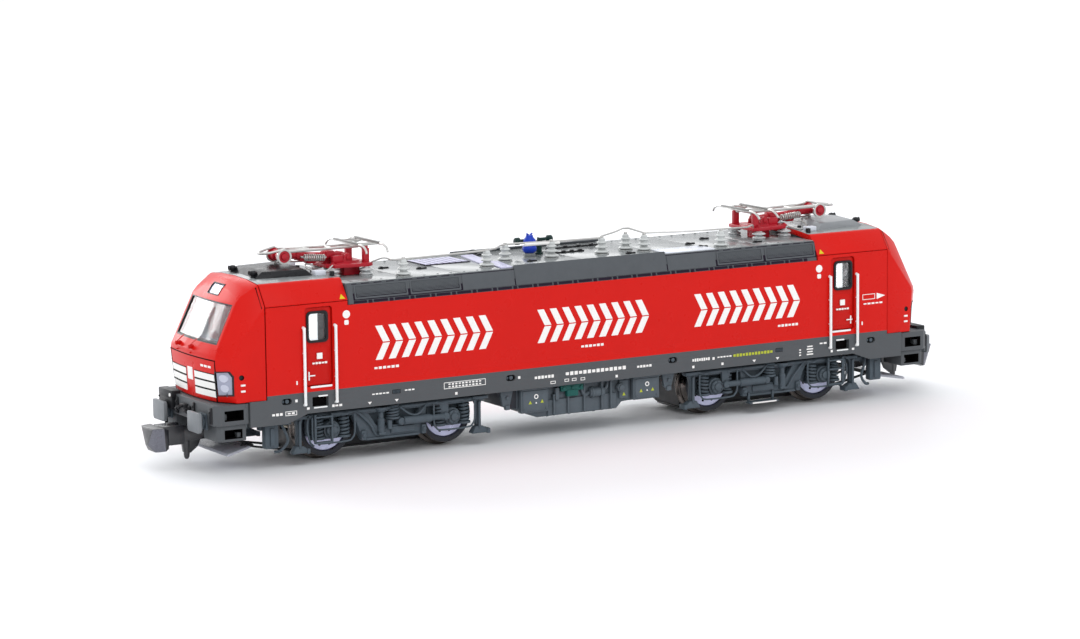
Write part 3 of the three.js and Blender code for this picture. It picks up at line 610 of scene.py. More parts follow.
def side_wall():
    """The flat right-hand side from sill to crease, open for doors, steps and sockets."""
    tail = [(44.2, 7.3), (47.2, 6.2), (52.7, 6.2), (52.7, 9.65), (SEAM_X, 9.65), (SEAM_X, CREASE_Z),
            (CAB_X, CREASE_Z), (CAB_X, ROOF_SEAT_Z)]
    outline = tail + [(-x, z) for x, z in reversed(tail)]
    holes = [rounded(*grown(a, 0.1), 0.42) for a in both_ends(DOOR)]
    holes += [rounded(*a, 0.12) for a in both_ends(STEP_HOLE)]
    holes += [rounded(x - 0.75, x + 0.75, z - 0.42, z + 0.42, 0.4) for x, z in SOCKETS]
    form = Form()
    form.plate(outline, -SIDE_Y, WALL - SIDE_Y, "xz", holes, bevel=0.05)
    form.slice_at((0, 0, COLOUR_Z), (0, 0, 1))
    return form.repaint(lambda c, n: 1 if c.z < COLOUR_Z else 0)


def door_leaf(form, x_sign):
    """A recessed door with its window gasket, kick seam and handle."""
    x0, x1, z0, z1 = DOOR

    def place(u, v, w):
        return u * x_sign, w, v

    window = rounded(*DOOR_WINDOW, 0.5)
    form.paint = 0
    form.plate(rounded(x0, x1, z0, z1, 0.38), -9.02, -8.4, holes=[window], place=place)
    form.plate(rounded(x0 + 0.3, x1 - 0.3, 11.5, 16.2, 0.25), -9.07, -8.9, bevel=0.04, place=place)
    form.paint = 1
    outer = rounded(*grown(DOOR_WINDOW, 0.1), 0.6, 6)
    inner = rounded(*grown(DOOR_WINDOW, -0.22), 0.42, 6)
    form.plate(outer, -9.24, -8.7, holes=[inner], place=place, bevel=0.07, segments=3)
    # The black sheet behind the door shows in the gap round it: a real joint, its dark line painted as shade.
    form.plate(rounded(x0 - 0.05, x1 + 0.05, z0 - 0.05, z1 + 0.05, 0.4), -8.38, -8.3, place=place)
    form.paint = 2
    form.plate(rounded(43.0, 44.05, 12.27, 12.43, 0.07), -9.32, -9.2, place=place, bevel=0.02)
    form.plate(rounded(43.75, 43.95, 11.7, 12.9, 0.08), -9.17, -9.1, place=place, bevel=0.02)
    form.paint = 3
    form.plate(rounded(*grown(DOOR_WINDOW, -0.2), 0.4), -9.0, -8.85, place=place, bevel=0.03)
    # Painted reflection: a glowing white panel behind half of the door window stands in for the bright
    # reflection on that half of the glass.
    form.paint = 4
    x_low, x_high = (42.3, 44.0) if x_sign < 0 else (41.0, 42.6)
    form.box(x_low * x_sign, x_high * x_sign, -8.8, -8.68, 16.9, 20.85, 0.03)


def handrails(form, x_sign):
    """White grab rails either side of a door, on short stand-offs, and the step edges."""
    for x in (40.0, 44.7):
        top, low = 18.95, 8.5
        form.pipe([(x * x_sign, -9.3, top), (x * x_sign, -9.66, top - 0.1), (x * x_sign, -9.68, top - 0.4),
                   (x * x_sign, -9.68, low + 0.4), (x * x_sign, -9.66, low + 0.1),
                   (x * x_sign, -9.3, low)], 0.2, 8)
        for z in (12.0, 15.5):
            form.drum("y", (x * x_sign, z), 0.12, -9.66, -9.2, 8)

    def place(u, v, w):
        return u * x_sign, w, v

    for x0, x1, z, h in ((40.5, 43.75, 10.8, 0.13), (41.2, 42.6, 9.52, 0.1), (41.3, 43.3, 8.0, 0.1)):
        form.plate(rounded(x0, x1, z - h, z + h, h * 0.7), -9.36, -9.2, place=place, bevel=0.02)


def step_pockets(form):
    """Foot pockets under the doors and the oval sockets along the sill, their backs near-black: painted shade
    inside the holes.
    """
    form.paint = 0
    for x0, x1, z0, z1 in both_ends(STEP_HOLE):
        form.box(x0 - 0.1, x1 + 0.1, -8.6, -8.3, z0 - 0.1, z1 + 0.1)
    for x, z in SOCKETS:
        form.box(x - 0.9, x + 0.9, -8.9, -8.3, z - 0.6, z + 0.6)
        form.paint = 1
        form.drum("y", (x + 0.1, z), 0.3, -9.22, -8.7, 16, 0.08)
        form.box(x - 0.6, x - 0.35, -9.12, -8.8, z - 0.2, z + 0.2)
        form.paint = 0
    for x in (-30.8, 31.3):
        form.box(x - 0.62, x + 0.62, -9.33, -9.0, 8.72, 9.28, 0.03)
        form.paint = 1
        for i in range(6):
            left = x - 0.54 + 0.19 * i
            form.box(left, left + 0.1, -9.38, -9.2, 8.76, 9.24, 0.02)
        form.paint = 0


def make_sides():
    for name, sign in SIDES:
        flip = dict(flip_x=sign > 0, flip_y=sign > 0)
        side_wall().finish(f"side_wall_{name}", "locomotive", "shell_red", [M["red"], M["sill"]],
                           ["body_shell"], **flip)
        doors, rails, pockets = Form(), Form(), Form()
        for x_sign in (1, -1):
            door_leaf(doors, x_sign)
            handrails(rails, x_sign)
        step_pockets(pockets)
        doors.finish(f"doors_{name}", "locomotive", "shell_red",
                     [M["deep_red"], M["black"], M["lining"], M["glass"], M["painted_glare"]], **flip)
        rails.finish(f"handrails_{name}", "locomotive", "shell_red", [M["lining"]], **flip)
        pockets.finish(f"step_pockets_{name}", "locomotive", "slate_plastic",
                       [M["seam"], M["bogie"]], **flip)


# ------------------------------------------------------------------ cab roof and nose

CAB_SECTION = ((9.3, 22.08), (9.22, 22.3), (7.62, 24.55), (7.3, 24.86), (6.9, 24.97), (4.0, 25.28),
               (0.0, 25.4))
HOOD_EDGE_Y = 7.0
NOSE_ROWS = (
    # x at the centre, x and y at the edge, z at the centre, z at the edge
    (56.8, 56.2, 6.3, 9.6, 9.6),
    (57.1, 56.6, 6.99, 15.3, 15.3),
    (57.02, 56.5, 6.97, 15.9, 15.9),
    (56.6, 56.1, 6.78, 16.85, 16.85),
    (53.65, 53.25, 6.73, 22.75, 22.66),
    (52.75, 52.6, 6.65, 24.05, 23.4),
    (51.6, 51.7, 6.6, 25.1, 24.1),
)
WINDSCREEN = ((-6.3, 17.2), (6.3, 17.2), (6.2, 22.35), (-6.2, 22.35))
HEADLIGHT = ((6.62, 10.55), (8.6, 10.75), (8.7, 13.1), (8.3, 13.75), (6.75, 13.6))
TOP_LAMP = ((-1.6, 23.15), (1.6, 23.15), (1.6, 24.4), (-1.6, 24.4))


def nose_points(inset, rear_x):
    """The corner points of the nose, drawn in by `inset`, with its joint face at rear_x."""
    points = []
    for x_mid, x_edge, y_edge, z_mid, z_edge in NOSE_ROWS:
        for i in range(-4, 5):
            t = i / 4
            x = x_mid - (x_mid - x_edge) * t * t - inset
            z = z_mid - (z_mid - z_edge) * t * t
            z += -0.8 * inset if z > 12 else 0.8 * inset
            points.append((x, (y_edge - inset) * t, z))
    for x, y, z in ((54.4, 9.05, 9.6), (55.0, 8.78, 15.6), (54.85, 8.8, 16.1)):
        z += -0.5 * inset if z > 12 else 0.8 * inset
        points += [(x - inset, side * (y - inset), z) for side in (1, -1)]
    for y, z in CAB_SECTION:
        points += [(rear_x, side * max(0.0, y - inset), z - 0.8 * inset) for side in (1, -1)]
    points += [(rear_x, side * (9.3 - inset), 9.65 + 0.8 * inset) for side in (1, -1)]
    return points


def nose_block(inset, rear_x=SEAM_X + 0.1, bevel=0.0, paint=0):
    return Form(paint).hull(nose_points(inset, rear_x), bevel)


def prism(outline, paint=0, near=45.0, far=62.0):
    """A bar of (y, z) outline that reaches through the nose."""
    return Form(paint).plate(outline, near, far, "yz", bevel=0)


def skin(tool, proud, depth):
    """The part of a tool that lies between two offsets of the nose surface."""
    return tool.carve(nose_block(-proud), "INTERSECT").carve(nose_block(depth, 49.0))


def sized(outline, grow):
    """An outline scaled out from its middle by about `grow` each way."""
    cy = sum(p[0] for p in outline) / len(outline)
    cz = sum(p[1] for p in outline) / len(outline)
    return [(y + math.copysign(grow, y - cy), z + math.copysign(grow, z - cz)) for y, z in outline]


def mirrored(outline):
    return [(-y, z) for y, z in reversed(outline)]


def bar(y0, y1, z0, z1):
    return ((y0, z0), (y1, z0), (y1, z1), (y0, z1))


def panel_lines():
    """The thin dark joints round the front panel: below the brow and down both sides."""
    half = 0.07
    lines = Form()
    lines.plate(bar(-6.95, 6.95, 15.2 - half, 15.2 + half), 45, 62, "yz", bevel=0)
    line = [(6.45 - half, 9.6), (6.45 + half, 9.6), (6.85 + half, 15.1), (6.85 - half, 15.1)]
    for outline in (line, mirrored(line)):
        lines.plate(outline, 45, 62, "yz", bevel=0)
    return skin(lines, 0.03, 0.2)


def make_nose(end, sign):
    flip = dict(flip_x=sign < 0)
    shell = nose_block(0.0, bevel=0.22)
    shell.carve(nose_block(1.0, 49.0, paint=2))
    shell.carve(prism(WINDSCREEN))
    shell.carve(prism(TOP_LAMP, 1))
    for outline in (HEADLIGHT, mirrored(HEADLIGHT)):
        shell.carve(prism(outline, 1))
    holes = Form(1)
    for side in (1, -1):
        holes.drum("y", (53.75, 13.0), 0.36, side * 8.5, side * 10, 16, 0)
    shell.carve(holes)
    shell.finish(f"nose_{end}", "locomotive", "shell_red", [M["red"], M["seam"], M["cab"]],
                 sharp=20.0, **flip)

    bars = Form()
    for side in (1, -1):
        for i in range(3):
            low = 10.22 + 1.1 * i
            bars.plate(bar(*sorted((1.3 * side, 6.45 * side)), low, low + 0.86), 45, 62, "yz", bevel=0)
    bars.plate(bar(-0.75, 0.75, 11.9, 13.6), 45, 62, "yz", bevel=0)
    skin(bars, 0.05, 0.2).finish(f"nose_bars_{end}", "locomotive", "shell_red", [M["white"]],
                                 sharp=20.0, **flip)

    panel_lines().finish(f"nose_panel_lines_{end}", "locomotive", "shell_red", [M["seam"]],
                         sharp=20.0, **flip)

    backing = Form()
    for side in (1, -1):
        backing.plate(bar(*sorted((1.25 * side, 6.5 * side)), 10.9, 13.4), 45, 62, "yz", bevel=0)
    skin(backing, 0.015, 0.2).finish(f"nose_bar_gaps_{end}", "locomotive", "shell_red",
                                     [M["seam"]], sharp=20.0, **flip)

    seals = Form()
    frames = [(sized(HEADLIGHT, 0.16), sized(HEADLIGHT, -0.02)), (sized(TOP_LAMP, 0.09), TOP_LAMP)]
    frames.append((mirrored(frames[0][0]), mirrored(frames[0][1])))
    for outer, inner in frames:
        seals.plate(outer, 45, 62, "yz", holes=[inner], bevel=0)
    skin(seals, 0.05, 0.3).finish(f"lamp_seals_{end}", "locomotive", "shell_red", [M["black"]],
                                  sharp=20.0, **flip)

    gasket = Form()
    gasket.plate(WINDSCREEN, 45, 62, "yz", bevel=0,
                 holes=[((-6.1, 17.42), (6.1, 17.42), (6.0, 22.18), (-6.0, 22.18))])
    skin(gasket, -0.03, 0.5).finish(f"windscreen_gasket_{end}", "locomotive", "shell_red",
                                     [M["black"]], sharp=20.0, **flip)
    pane = prism(sized(WINDSCREEN, -0.02))
    skin(pane, -0.14, 0.35).finish(f"windscreen_{end}", "locomotive", "glazing", [M["glass"]],
                                 [f"cab_glazing_{end}"], sharp=20.0, **flip)

    lenses = Form()
    for outline in (HEADLIGHT, mirrored(HEADLIGHT), TOP_LAMP):
        lenses.plate(sized(outline, -0.03), 45, 62, "yz", bevel=0)
    skin(lenses, -0.07, 0.6).finish(f"lamp_lenses_{end}", "locomotive", "light_guide",
                                    [M["lens"]], sharp=20.0, **flip)
    bowls = Form()
    for side in (1, -1):
        for z in (11.55, 12.9):
            bowls.drum("x", (7.65 * side, z), 0.52, 50, 60, 24, 0)
    skin(bowls, 0.0, 0.4).finish(f"lamp_bowls_{end}", "locomotive", "light_guide", [M["lamp"]],
                                 sharp=20.0, **flip)

    pegs = Form()
    for y in (-0.4, 3.7):
        pegs.drum("x", (y, 16.35), 0.3, 56.0, 57.4, 16, 0.1)
        pegs.drum("x", (y, 15.55), 0.1, 56.5, 57.25, 10, 0.04)
        pegs.pipe([(57.2, y, 16.35), (57.25, y - 0.5, 16.75), (56.7, y - 1.4, 17.6)], 0.07, 6)
    pegs.finish(f"wiper_pegs_{end}", "locomotive", "shell_red", [M["deep_red"]], **flip)


def make_cab_roof(end, sign):
    """The shoulders and roof over a cab, its bulkhead, hood and the dark joint to the nose."""
    flip = dict(flip_x=sign < 0)
    half = list(CAB_SECTION)
    outer = half + [(-y, z) for y, z in reversed(half[:-1])]
    inner = [(y * 0.89, z - 0.8) for y, z in outer]
    inner[0], inner[-1] = (8.35, 22.08), (-8.35, 22.08)
    form = Form()
    form.plate(outer + inner[::-1], CAB_X - 0.05, SEAM_X, "yz", bevel=0.06)
    form.slice_at((0, HOOD_EDGE_Y, 0), (0, 1, 0)).slice_at((0, -HOOD_EDGE_Y, 0), (0, 1, 0))
    form.repaint(lambda c, n: 1 if abs(c.y) < HOOD_EDGE_Y and n.z > 0.3 else 0)
    form.paint = 2
    section = [(y * 0.93, min(z, 25.1)) for y, z in outer]
    form.plate(section, CAB_X + 0.1, CAB_X + 0.6, "yz", bevel=0.05)
    form.finish(f"cab_roof_{end}", "locomotive", "roof_grey", [M["red"], M["deck"], M["panel"]],
                sharp=24.0, **flip)

    seam = Form()
    ring = [(9.12, 8.0), (9.12, 22.05), (7.4, 24.55), (4.0, 25.06), (0, 25.18)]
    ring += [(-y, z) for y, z in reversed(ring[:-1])]
    inner = [(y * 0.92, z - (0.7 if z > 10 else 0)) for y, z in ring]
    seam.plate(ring + inner[::-1], SEAM_X - 0.35, SEAM_X + 0.5, "yz", bevel=0)
    seam.finish(f"cab_seam_{end}", "locomotive", "shell_red", [M["seam"]], **flip)
    make_hood(end, sign)


def make_hood(end, sign):
    """The raised cover on a cab roof: glossy black in front, pale grey at the rear."""
    hood = Form()
    low = [(40.7, 5.1), (49.6, 4.5)]
    top = [(41.8, 4.6), (42.6, 4.4), (47.9, 3.9)]
    points = [(x, s * y, 25.0) for x, y in low for s in (1, -1)]
    points += [(x, s * y, 26.05) for x, y in top for s in (1, -1)]
    points += [(x, 0.0, 26.3) for x in (42.3, 47.7)]
    hood.hull(points, 0.14, 3, 8.0)
    hood.paint = 1
    hood.box(39.0, 40.6, -5.2, -3.9, 25.0, 25.75, 0.12)
    hood.box(39.0, 40.6, 3.9, 5.2, 25.0, 25.75, 0.12)
    hood.paint = 2
    for side in (1, -1):
        hood.box(38.3, 38.8, side * 6.0 - 0.35, side * 6.0 + 0.35, 24.9, 25.7, 0.1)
        hood.drum("z", (39.6, side * 2.2), 0.3, 25.1, 25.62, 16, 0.08)
        horn = [(0, 25.0), (0.55, 25.0), (0.5, 25.3), (0.3, 25.5), (0.45, 25.7), (0.5, 25.95)]
        horn += [(0.36, 26.2), (0, 26.3)]
        hood.turned(horn, "z", (48.9, side * 3.1), 18)
        hood.turned([(0, 48.3), (0.16, 48.3), (0.2, 48.9), (0.36, 49.45), (0.3, 49.48), (0, 49.2)],
                    "x", (side * 3.1, 25.9), 18)
    cover = M["hood_black"] if sign < 0 else M["hood_grey"]
    hood.finish(f"cab_hood_{end}", "locomotive", "roof_grey", [cover, M["pale"], M["black"]],
                sharp=28.0, flip_x=sign < 0)


def make_cab_inside(end, sign):
    """Desk, seats, floor and rear wall, seen through the windows."""
    form = Form()
    form.box(44.9, 45.3, -7.6, 7.6, 10.4, 23.2, 0.1)
    form.box(45.0, 55.4, -7.9, 7.9, 10.4, 10.9, 0.1)
    form.hull([(x, s * y, z) for s in (1, -1) for x, y, z in
               ((55.0, 6.0, 16.0), (52.2, 6.4, 16.6), (51.6, 6.4, 15.6), (55.0, 6.0, 11.0),
                (53.0, 6.2, 11.0))], 0.15)
    form.box(52.0, 53.6, -4.6, -1.4, 16.4, 17.3, 0.15)
    form.paint = 1
    for y in (-3.2, 3.2):
        form.box(47.6, 49.8, y - 1.2, y + 1.2, 13.6, 14.4, 0.3)
        form.box(47.0, 47.7, y - 1.2, y + 1.2, 14.2, 18.6, 0.3)
        form.box(47.0, 47.6, y - 0.7, y + 0.7, 18.7, 19.9, 0.25)
        form.drum("z", (48.6, y), 0.5, 10.8, 13.7, 16)
    # Painted reflection: two glowing white panels on the rear wall stand in for the bright glare seen in the
    # windscreen.
    form.paint = 2
    form.box(45.3, 45.5, -6.0, -1.0, 12.0, 22.8, 0.08)
    form.box(45.3, 45.5, 1.5, 6.0, 12.0, 22.8, 0.08)
    form.finish(f"cab_inside_{end}", "locomotive", "slate_plastic",
                [M["cab"], M["black"], M["painted_glare"]], flip_x=sign < 0)


make_sides()
for end, sign in ENDS:
    make_nose(end, sign)
    make_cab_roof(end, sign)
    make_cab_inside(end, sign)


# ------------------------------------------------------------------ roof section

DECK_Z = 24.25
DECK_X = 37.85
DECK_Y = 8.4
JOINTS_RIGHT = (-37.85, -36.95, -28.45, -20.27, -11.96, 12.64, 20.82, 28.96, 37.85)
LOUVRED = (1, 2, 6, 7)
SLOPE_RISE = (0.2665, 0.9638)


def on_slope(u, v, w):
    """A point on the right-hand roof slope: along, up the slope, and out of it."""
    inward, up = SLOPE_RISE
    return (u, -9.25 + inward * v - up * w, ROOF_SEAT_Z + up * v + inward * w)


def louvred_panel(form, x0, x1):
    """A framed louvre: a rim and raised slats."""
    dark_outline(form, x0, x1)
    rim = rounded(x0 + 0.42, x1 - 0.42, 0.87, 2.38, 0.1)
    form.plate(rounded(x0 + 0.2, x1 - 0.2, 0.62, 2.6, 0.12), -0.2, 0.1, holes=[rim],
               place=on_slope, bevel=0.04)
    rows = 8
    for i in range(rows):
        v = 1.04 + 1.18 * i / (rows - 1)
        form.plate(rounded(x0 + 0.5, x1 - 0.5, v - 0.06, v + 0.06, 0.03, 2), -0.2, 0.07,
                   place=on_slope, bevel=0.02)
    for i in range(int((x1 - x0) / 1.9)):
        x = x0 + 0.7 + 1.9 * i
        form.plate(rounded(x, x + 0.7, 2.62, 2.8, 0.04, 2), -0.1, 0.1, place=on_slope, bevel=0.03)


def dark_outline(form, x0, x1):
    """The shadow gap round a panel on the slope."""
    form.paint = 1
    form.plate(rounded(x0 - 0.03, x1 + 0.03, 0.5, 2.76, 0.08), -0.2, 0.03, place=on_slope, bevel=0.01)
    form.paint = 0


def plain_panel(form, x0, x1, top=2.66):
    dark_outline(form, x0, x1)
    form.plate(rounded(x0 + 0.09, x1 - 0.09, 0.5, top, 0.08), -0.2, 0.1, place=on_slope, bevel=0.04)
    count = max(2, int((x1 - x0) / 4.0))
    for i in range(count):
        x = x0 + (x1 - x0) * (i + 0.5) / count
        form.plate(list(arc((x, 2.4), 0.09, 0, 324, 9)), 0.0, 0.11, place=on_slope, bevel=0.02)


def slope_strip():
    """The sloped edge of the roof down one side, with its slot row and screw heads."""
    form = Form(0)
    section = [(-9.25, 21.3), (-9.25, 21.45), (-8.6, 23.95), (-8.4, 24.2), (-7.9, 24.2),
               (-7.9, 23.7), (-8.6, 21.3)]
    form.plate(section, -DECK_X, DECK_X, "yz", bevel=0.05)
    spans = zip(JOINTS_RIGHT, JOINTS_RIGHT[1:])
    for i, (x0, x1) in enumerate(spans):
        if i == 0:
            form.plate(rounded(x0 + 0.1, x1 - 0.05, 0.05, 2.7, 0.1), -0.2, 0.12, place=on_slope)
        elif i in LOUVRED:
            louvred_panel(form, x0, x1)
        elif x0 < 0 < x1:
            plain_panel(form, x0, x1, top=3.3)
        else:
            plain_panel(form, x0, x1)
    slot_row(form)
    return form


def slot_row(form):
    """The row of slots along the foot of the slope, a long one then a square one, each a flat near-black
    block: painted shade standing in for the dark inside of an opening.
    """
    form.paint = 1
    pitch = 3.2
    for i in range(int(2 * DECK_X / pitch)):
        x = 0.7 - DECK_X + pitch * i
        form.plate(rounded(x, x + 2.15, 0.08, 0.42, 0.06, 2), -0.1, 0.05, place=on_slope, bevel=0.02)
        form.plate(rounded(x + 2.4, x + 2.95, 0.02, 0.42, 0.06, 2), -0.1, 0.09, place=on_slope, bevel=0.02)


def make_deck():
    """The flat roof: bolted plates with dark joints between them, and small fittings."""
    form = Form(0)
    form.box(-DECK_X, DECK_X, -8.0, 8.0, 23.4, 24.0, 0.05)
    edges = (-DECK_X, -28.45, -20.27, -11.96, 0.3, 12.64, 20.82, 28.96, DECK_X)
    form.paint = 1
    for x0, x1 in zip(edges, edges[1:]):
        form.box(x0 + 0.03, x1 - 0.03, -DECK_Y, DECK_Y, 23.8, DECK_Z, 0.09)
    for x0, x1 in zip(edges, edges[1:]):
        for i in range(4):
            x = x0 + (x1 - x0) * (i + 0.5) / 4
            for y in (-7.7, 7.7):
                form.drum("z", (x, y), 0.16, 24.2, 24.33, 8, 0.03)
    form.finish("roof_deck", "locomotive", "roof_grey", [M["seam"], M["deck"]], ["roof_section"])

    for name, sign in SIDES:
        slope_strip().finish(f"roof_slope_{name}", "locomotive", "roof_grey",
                             [M["panel"], M["slot"]], flip_x=sign > 0, flip_y=sign > 0)


def make_roof_fittings():
    """Slatted cover, cable strips, rails and small lifting points on the deck."""
    form = Form(0)
    z = DECK_Z
    form.box(12.9, 21.1, -8.3, -4.3, z - 0.1, z + 0.14, 0.06)
    for x in (13.6, 16.9, 20.3):
        form.drum("z", (x, -5.0), 0.14, z, z + 0.2, 8, 0.03)
    form.paint = 1
    form.box(-20.9, -13.9, 0.1, 5.7, z - 0.1, z + 0.1, 0.03)
    form.paint = 2
    for i in range(7):
        x = -20.8 + 0.98 * i
        form.box(x, x + 0.78, 0.4, 5.6, z, z + 0.15, 0.03)
    form.finish("roof_covers", "locomotive", "roof_grey", [M["pale"], M["slot"], M["lilac"]])

    strips = Form(0)
    for path in (((-11.3, 5.8), (-12.9, -2.6)), ((-11.6, -1.9), (-12.8, -8.2))):
        (x0, y0), (x1, y1) = path
        strips.hull([(x + dx, y, h) for x, y in ((x0, y0), (x1, y1)) for dx in (-0.95, 0.95)
                     for h in (z - 0.05, z + 0.16)], 0.05)
    strips.finish("roof_cable_covers", "locomotive", "roof_grey", [M["lilac"]])

    dark = Form(0)
    for x, y in ((-26.9, 1.3), (-22.75, -2.0), (25.7, 1.8), (21.1, -1.7), (21.0, -5.25), (-6.6, -4.4),
                 (8.9, -5.3), (-33.0, 5.8), (-9.3, 5.2), (30.0, -5.6)):
        dark.box(x - 0.75, x + 0.75, y - 0.2, y + 0.2, z - 0.05, z + 0.2, 0.06)
        dark.box(x - 0.5, x - 0.2, y - 0.32, y + 0.32, z - 0.05, z + 0.3, 0.05)
    for x0, x1, y in ((1.0, 9.6, 4.9), (-0.6, 4.8, 0.6)):
        dark.box(x0, x1, y - 0.12, y + 0.12, z - 0.05, z + 0.22, 0.06)
        for i in range(4):
            x = x0 + (x1 - x0) * (i + 0.5) / 4
            dark.box(x - 0.25, x + 0.25, y - 0.25, y + 0.25, z - 0.05, z + 0.38, 0.05)
    for x, y in ((-9.4, 7.4), (-31.0, -0.6)):
        dark.turned([(0, z), (0.95, z), (0.9, z + 0.25), (0.55, z + 0.5), (0, z + 0.6)], "z", (x, y), 20)
    dark.finish("roof_lifting_points", "locomotive", "slate_plastic", [M["black"]])


# ------------------------------------------------------------------ insulators and high-voltage line

BUS_POSTS = ((-27.9, -6.4), (-14.3, -5.3), (-9.3, -1.6), (-2.4, -2.6), (5.5, -3.1), (10.4, -1.5),
             (12.0, -3.9), (23.3, -6.4))
WIRE_Z = 26.5


def ribbed(form, x, y, low, high, ribs, r_core, r_rib, taper=0.0):
    """A post insulator: fat rounded sheds on a core, narrower towards the top."""
    step = (high - low) / (ribs + 0.5)
    profile = [(0, low), (r_rib * 0.9, low), (r_rib * 0.9, low + 0.12), (r_core, low + 0.2)]
    for i in range(ribs):
        z = low + step * (i + 0.6)
        shed = r_rib * (1 - taper * i / ribs)
        profile += [(r_core, z - 0.24), (shed - 0.08, z - 0.14), (shed, z - 0.03), (shed - 0.06, z + 0.06),
                    (shed - 0.25, z + 0.16), (r_core, z + 0.26)]
    profile += [(r_core * 0.9, high - 0.1), (r_core * 0.6, high), (0, high)]
    form.turned(profile, "z", (x, y), 24)


def make_busbar():
    posts = Form(0)
    for x, y in BUS_POSTS:
        posts.paint = 0
        ribbed(posts, x, y, 24.2, 26.5, 3, 0.5, 1.05, 0.45)
        posts.paint = 1
        posts.drum("z", (x, y), 0.26, 26.4, 26.8, 12, 0.06)
        for a in range(4):
            angle = math.radians(45 + 90 * a)
            posts.drum("z", (x + 0.95 * math.cos(angle), y + 0.95 * math.sin(angle)), 0.1,
                       24.2, 24.36, 6, 0.02)
    posts.finish("bus_insulators", "locomotive", "insulator_ivory", [M["porcelain"], M["wire"]],
                 ["roof_busbar"])

    wires = Form(0)
    route = [(-29.6, -5.4, 26.5)]
    route += [(x, y, WIRE_Z + 0.02) for x, y in BUS_POSTS[:5]]
    wires.pipe(smooth_path(route, 4), 0.15)
    wires.pipe([(5.5, -3.1, 26.75), (8.6, -1.6, 26.95), (10.0, -1.5, 27.35), (10.9, -1.6, 27.3),
                (12.0, -3.9, 26.8)], 0.13)
    wires.pipe(smooth_path([(12.0, -3.9, 26.8), (17.5, -5.5, 26.75), (23.3, -6.4, 26.75),
                            (29.0, -4.6, 26.4)], 5), 0.13)
    wires.paint = 1
    wires.pipe([(-6.4, -2.1, 26.3), (-2.4, -2.6, 26.32), (-1.2, -2.75, 26.3)], 0.22, 10)
    wires.finish("bus_wires", "locomotive", "pantograph_wire", [M["wire"], M["white"]])


def make_breaker():
    """The blue circuit breaker on its plinth, with a dark bar across and a second dark post."""
    x, y = -4.1, 0.6
    form = Form(2)
    form.drum("z", (x, y), 0.85, 24.2, 24.7, 20, 0.06)
    form.paint = 0
    bulb = [(0, 24.65), (0.7, 24.65), *arc((0.35, 25.3), 0.68, -60, 60, 7), (0.6, 26.0)]
    cap = [(0.85, 26.1), (0.95, 26.25), (0.85, 26.6), (0.55, 26.95), (0.5, 27.2), (0, 27.3)]
    form.turned(bulb + cap, "z", (x, y), 24)
    form.box(x - 0.3, x + 0.3, y - 1.1, y + 1.1, 26.0, 26.5, 0.15)
    for side in (1, -1):
        form.pipe([(x, y, 27.1), (x + 0.45 * side, y, 27.45)], 0.13, 6)
    form.paint = 1
    bar = [(0, 0.6), (0.42, 0.7), (0.3, 1.0), (0.3, 1.9), (0.62, 2.1), (0.62, 2.6), (0.45, 2.75), (0, 2.8)]
    for side in (1, -1):
        form.turned([(r * 0.85, x + 0.9 + side * h * 1.1) for r, h in bar], "x", (y + 0.5, 26.4), 16)
    form.turned([(0, 24.2), (0.6, 24.2), (0.6, 24.5), (0.42, 24.6), (0.42, 26.2), (0, 26.3)],
                "z", (x + 2.1, y + 1.0), 16)
    form.finish("breaker_body", "locomotive", "breaker_blue", [M["blue"], M["teal"], M["deck"]],
                ["circuit_breaker"])


# ------------------------------------------------------------------ pantographs (folded)

PAN_PIVOT = (33.9, 26.7)
PAN_KNEE = (43.5, 27.5)
PAN_HEAD = (31.6, 28.0)
ROD_PIVOT = (34.95, 26.05)
ROD_Y = 0.95


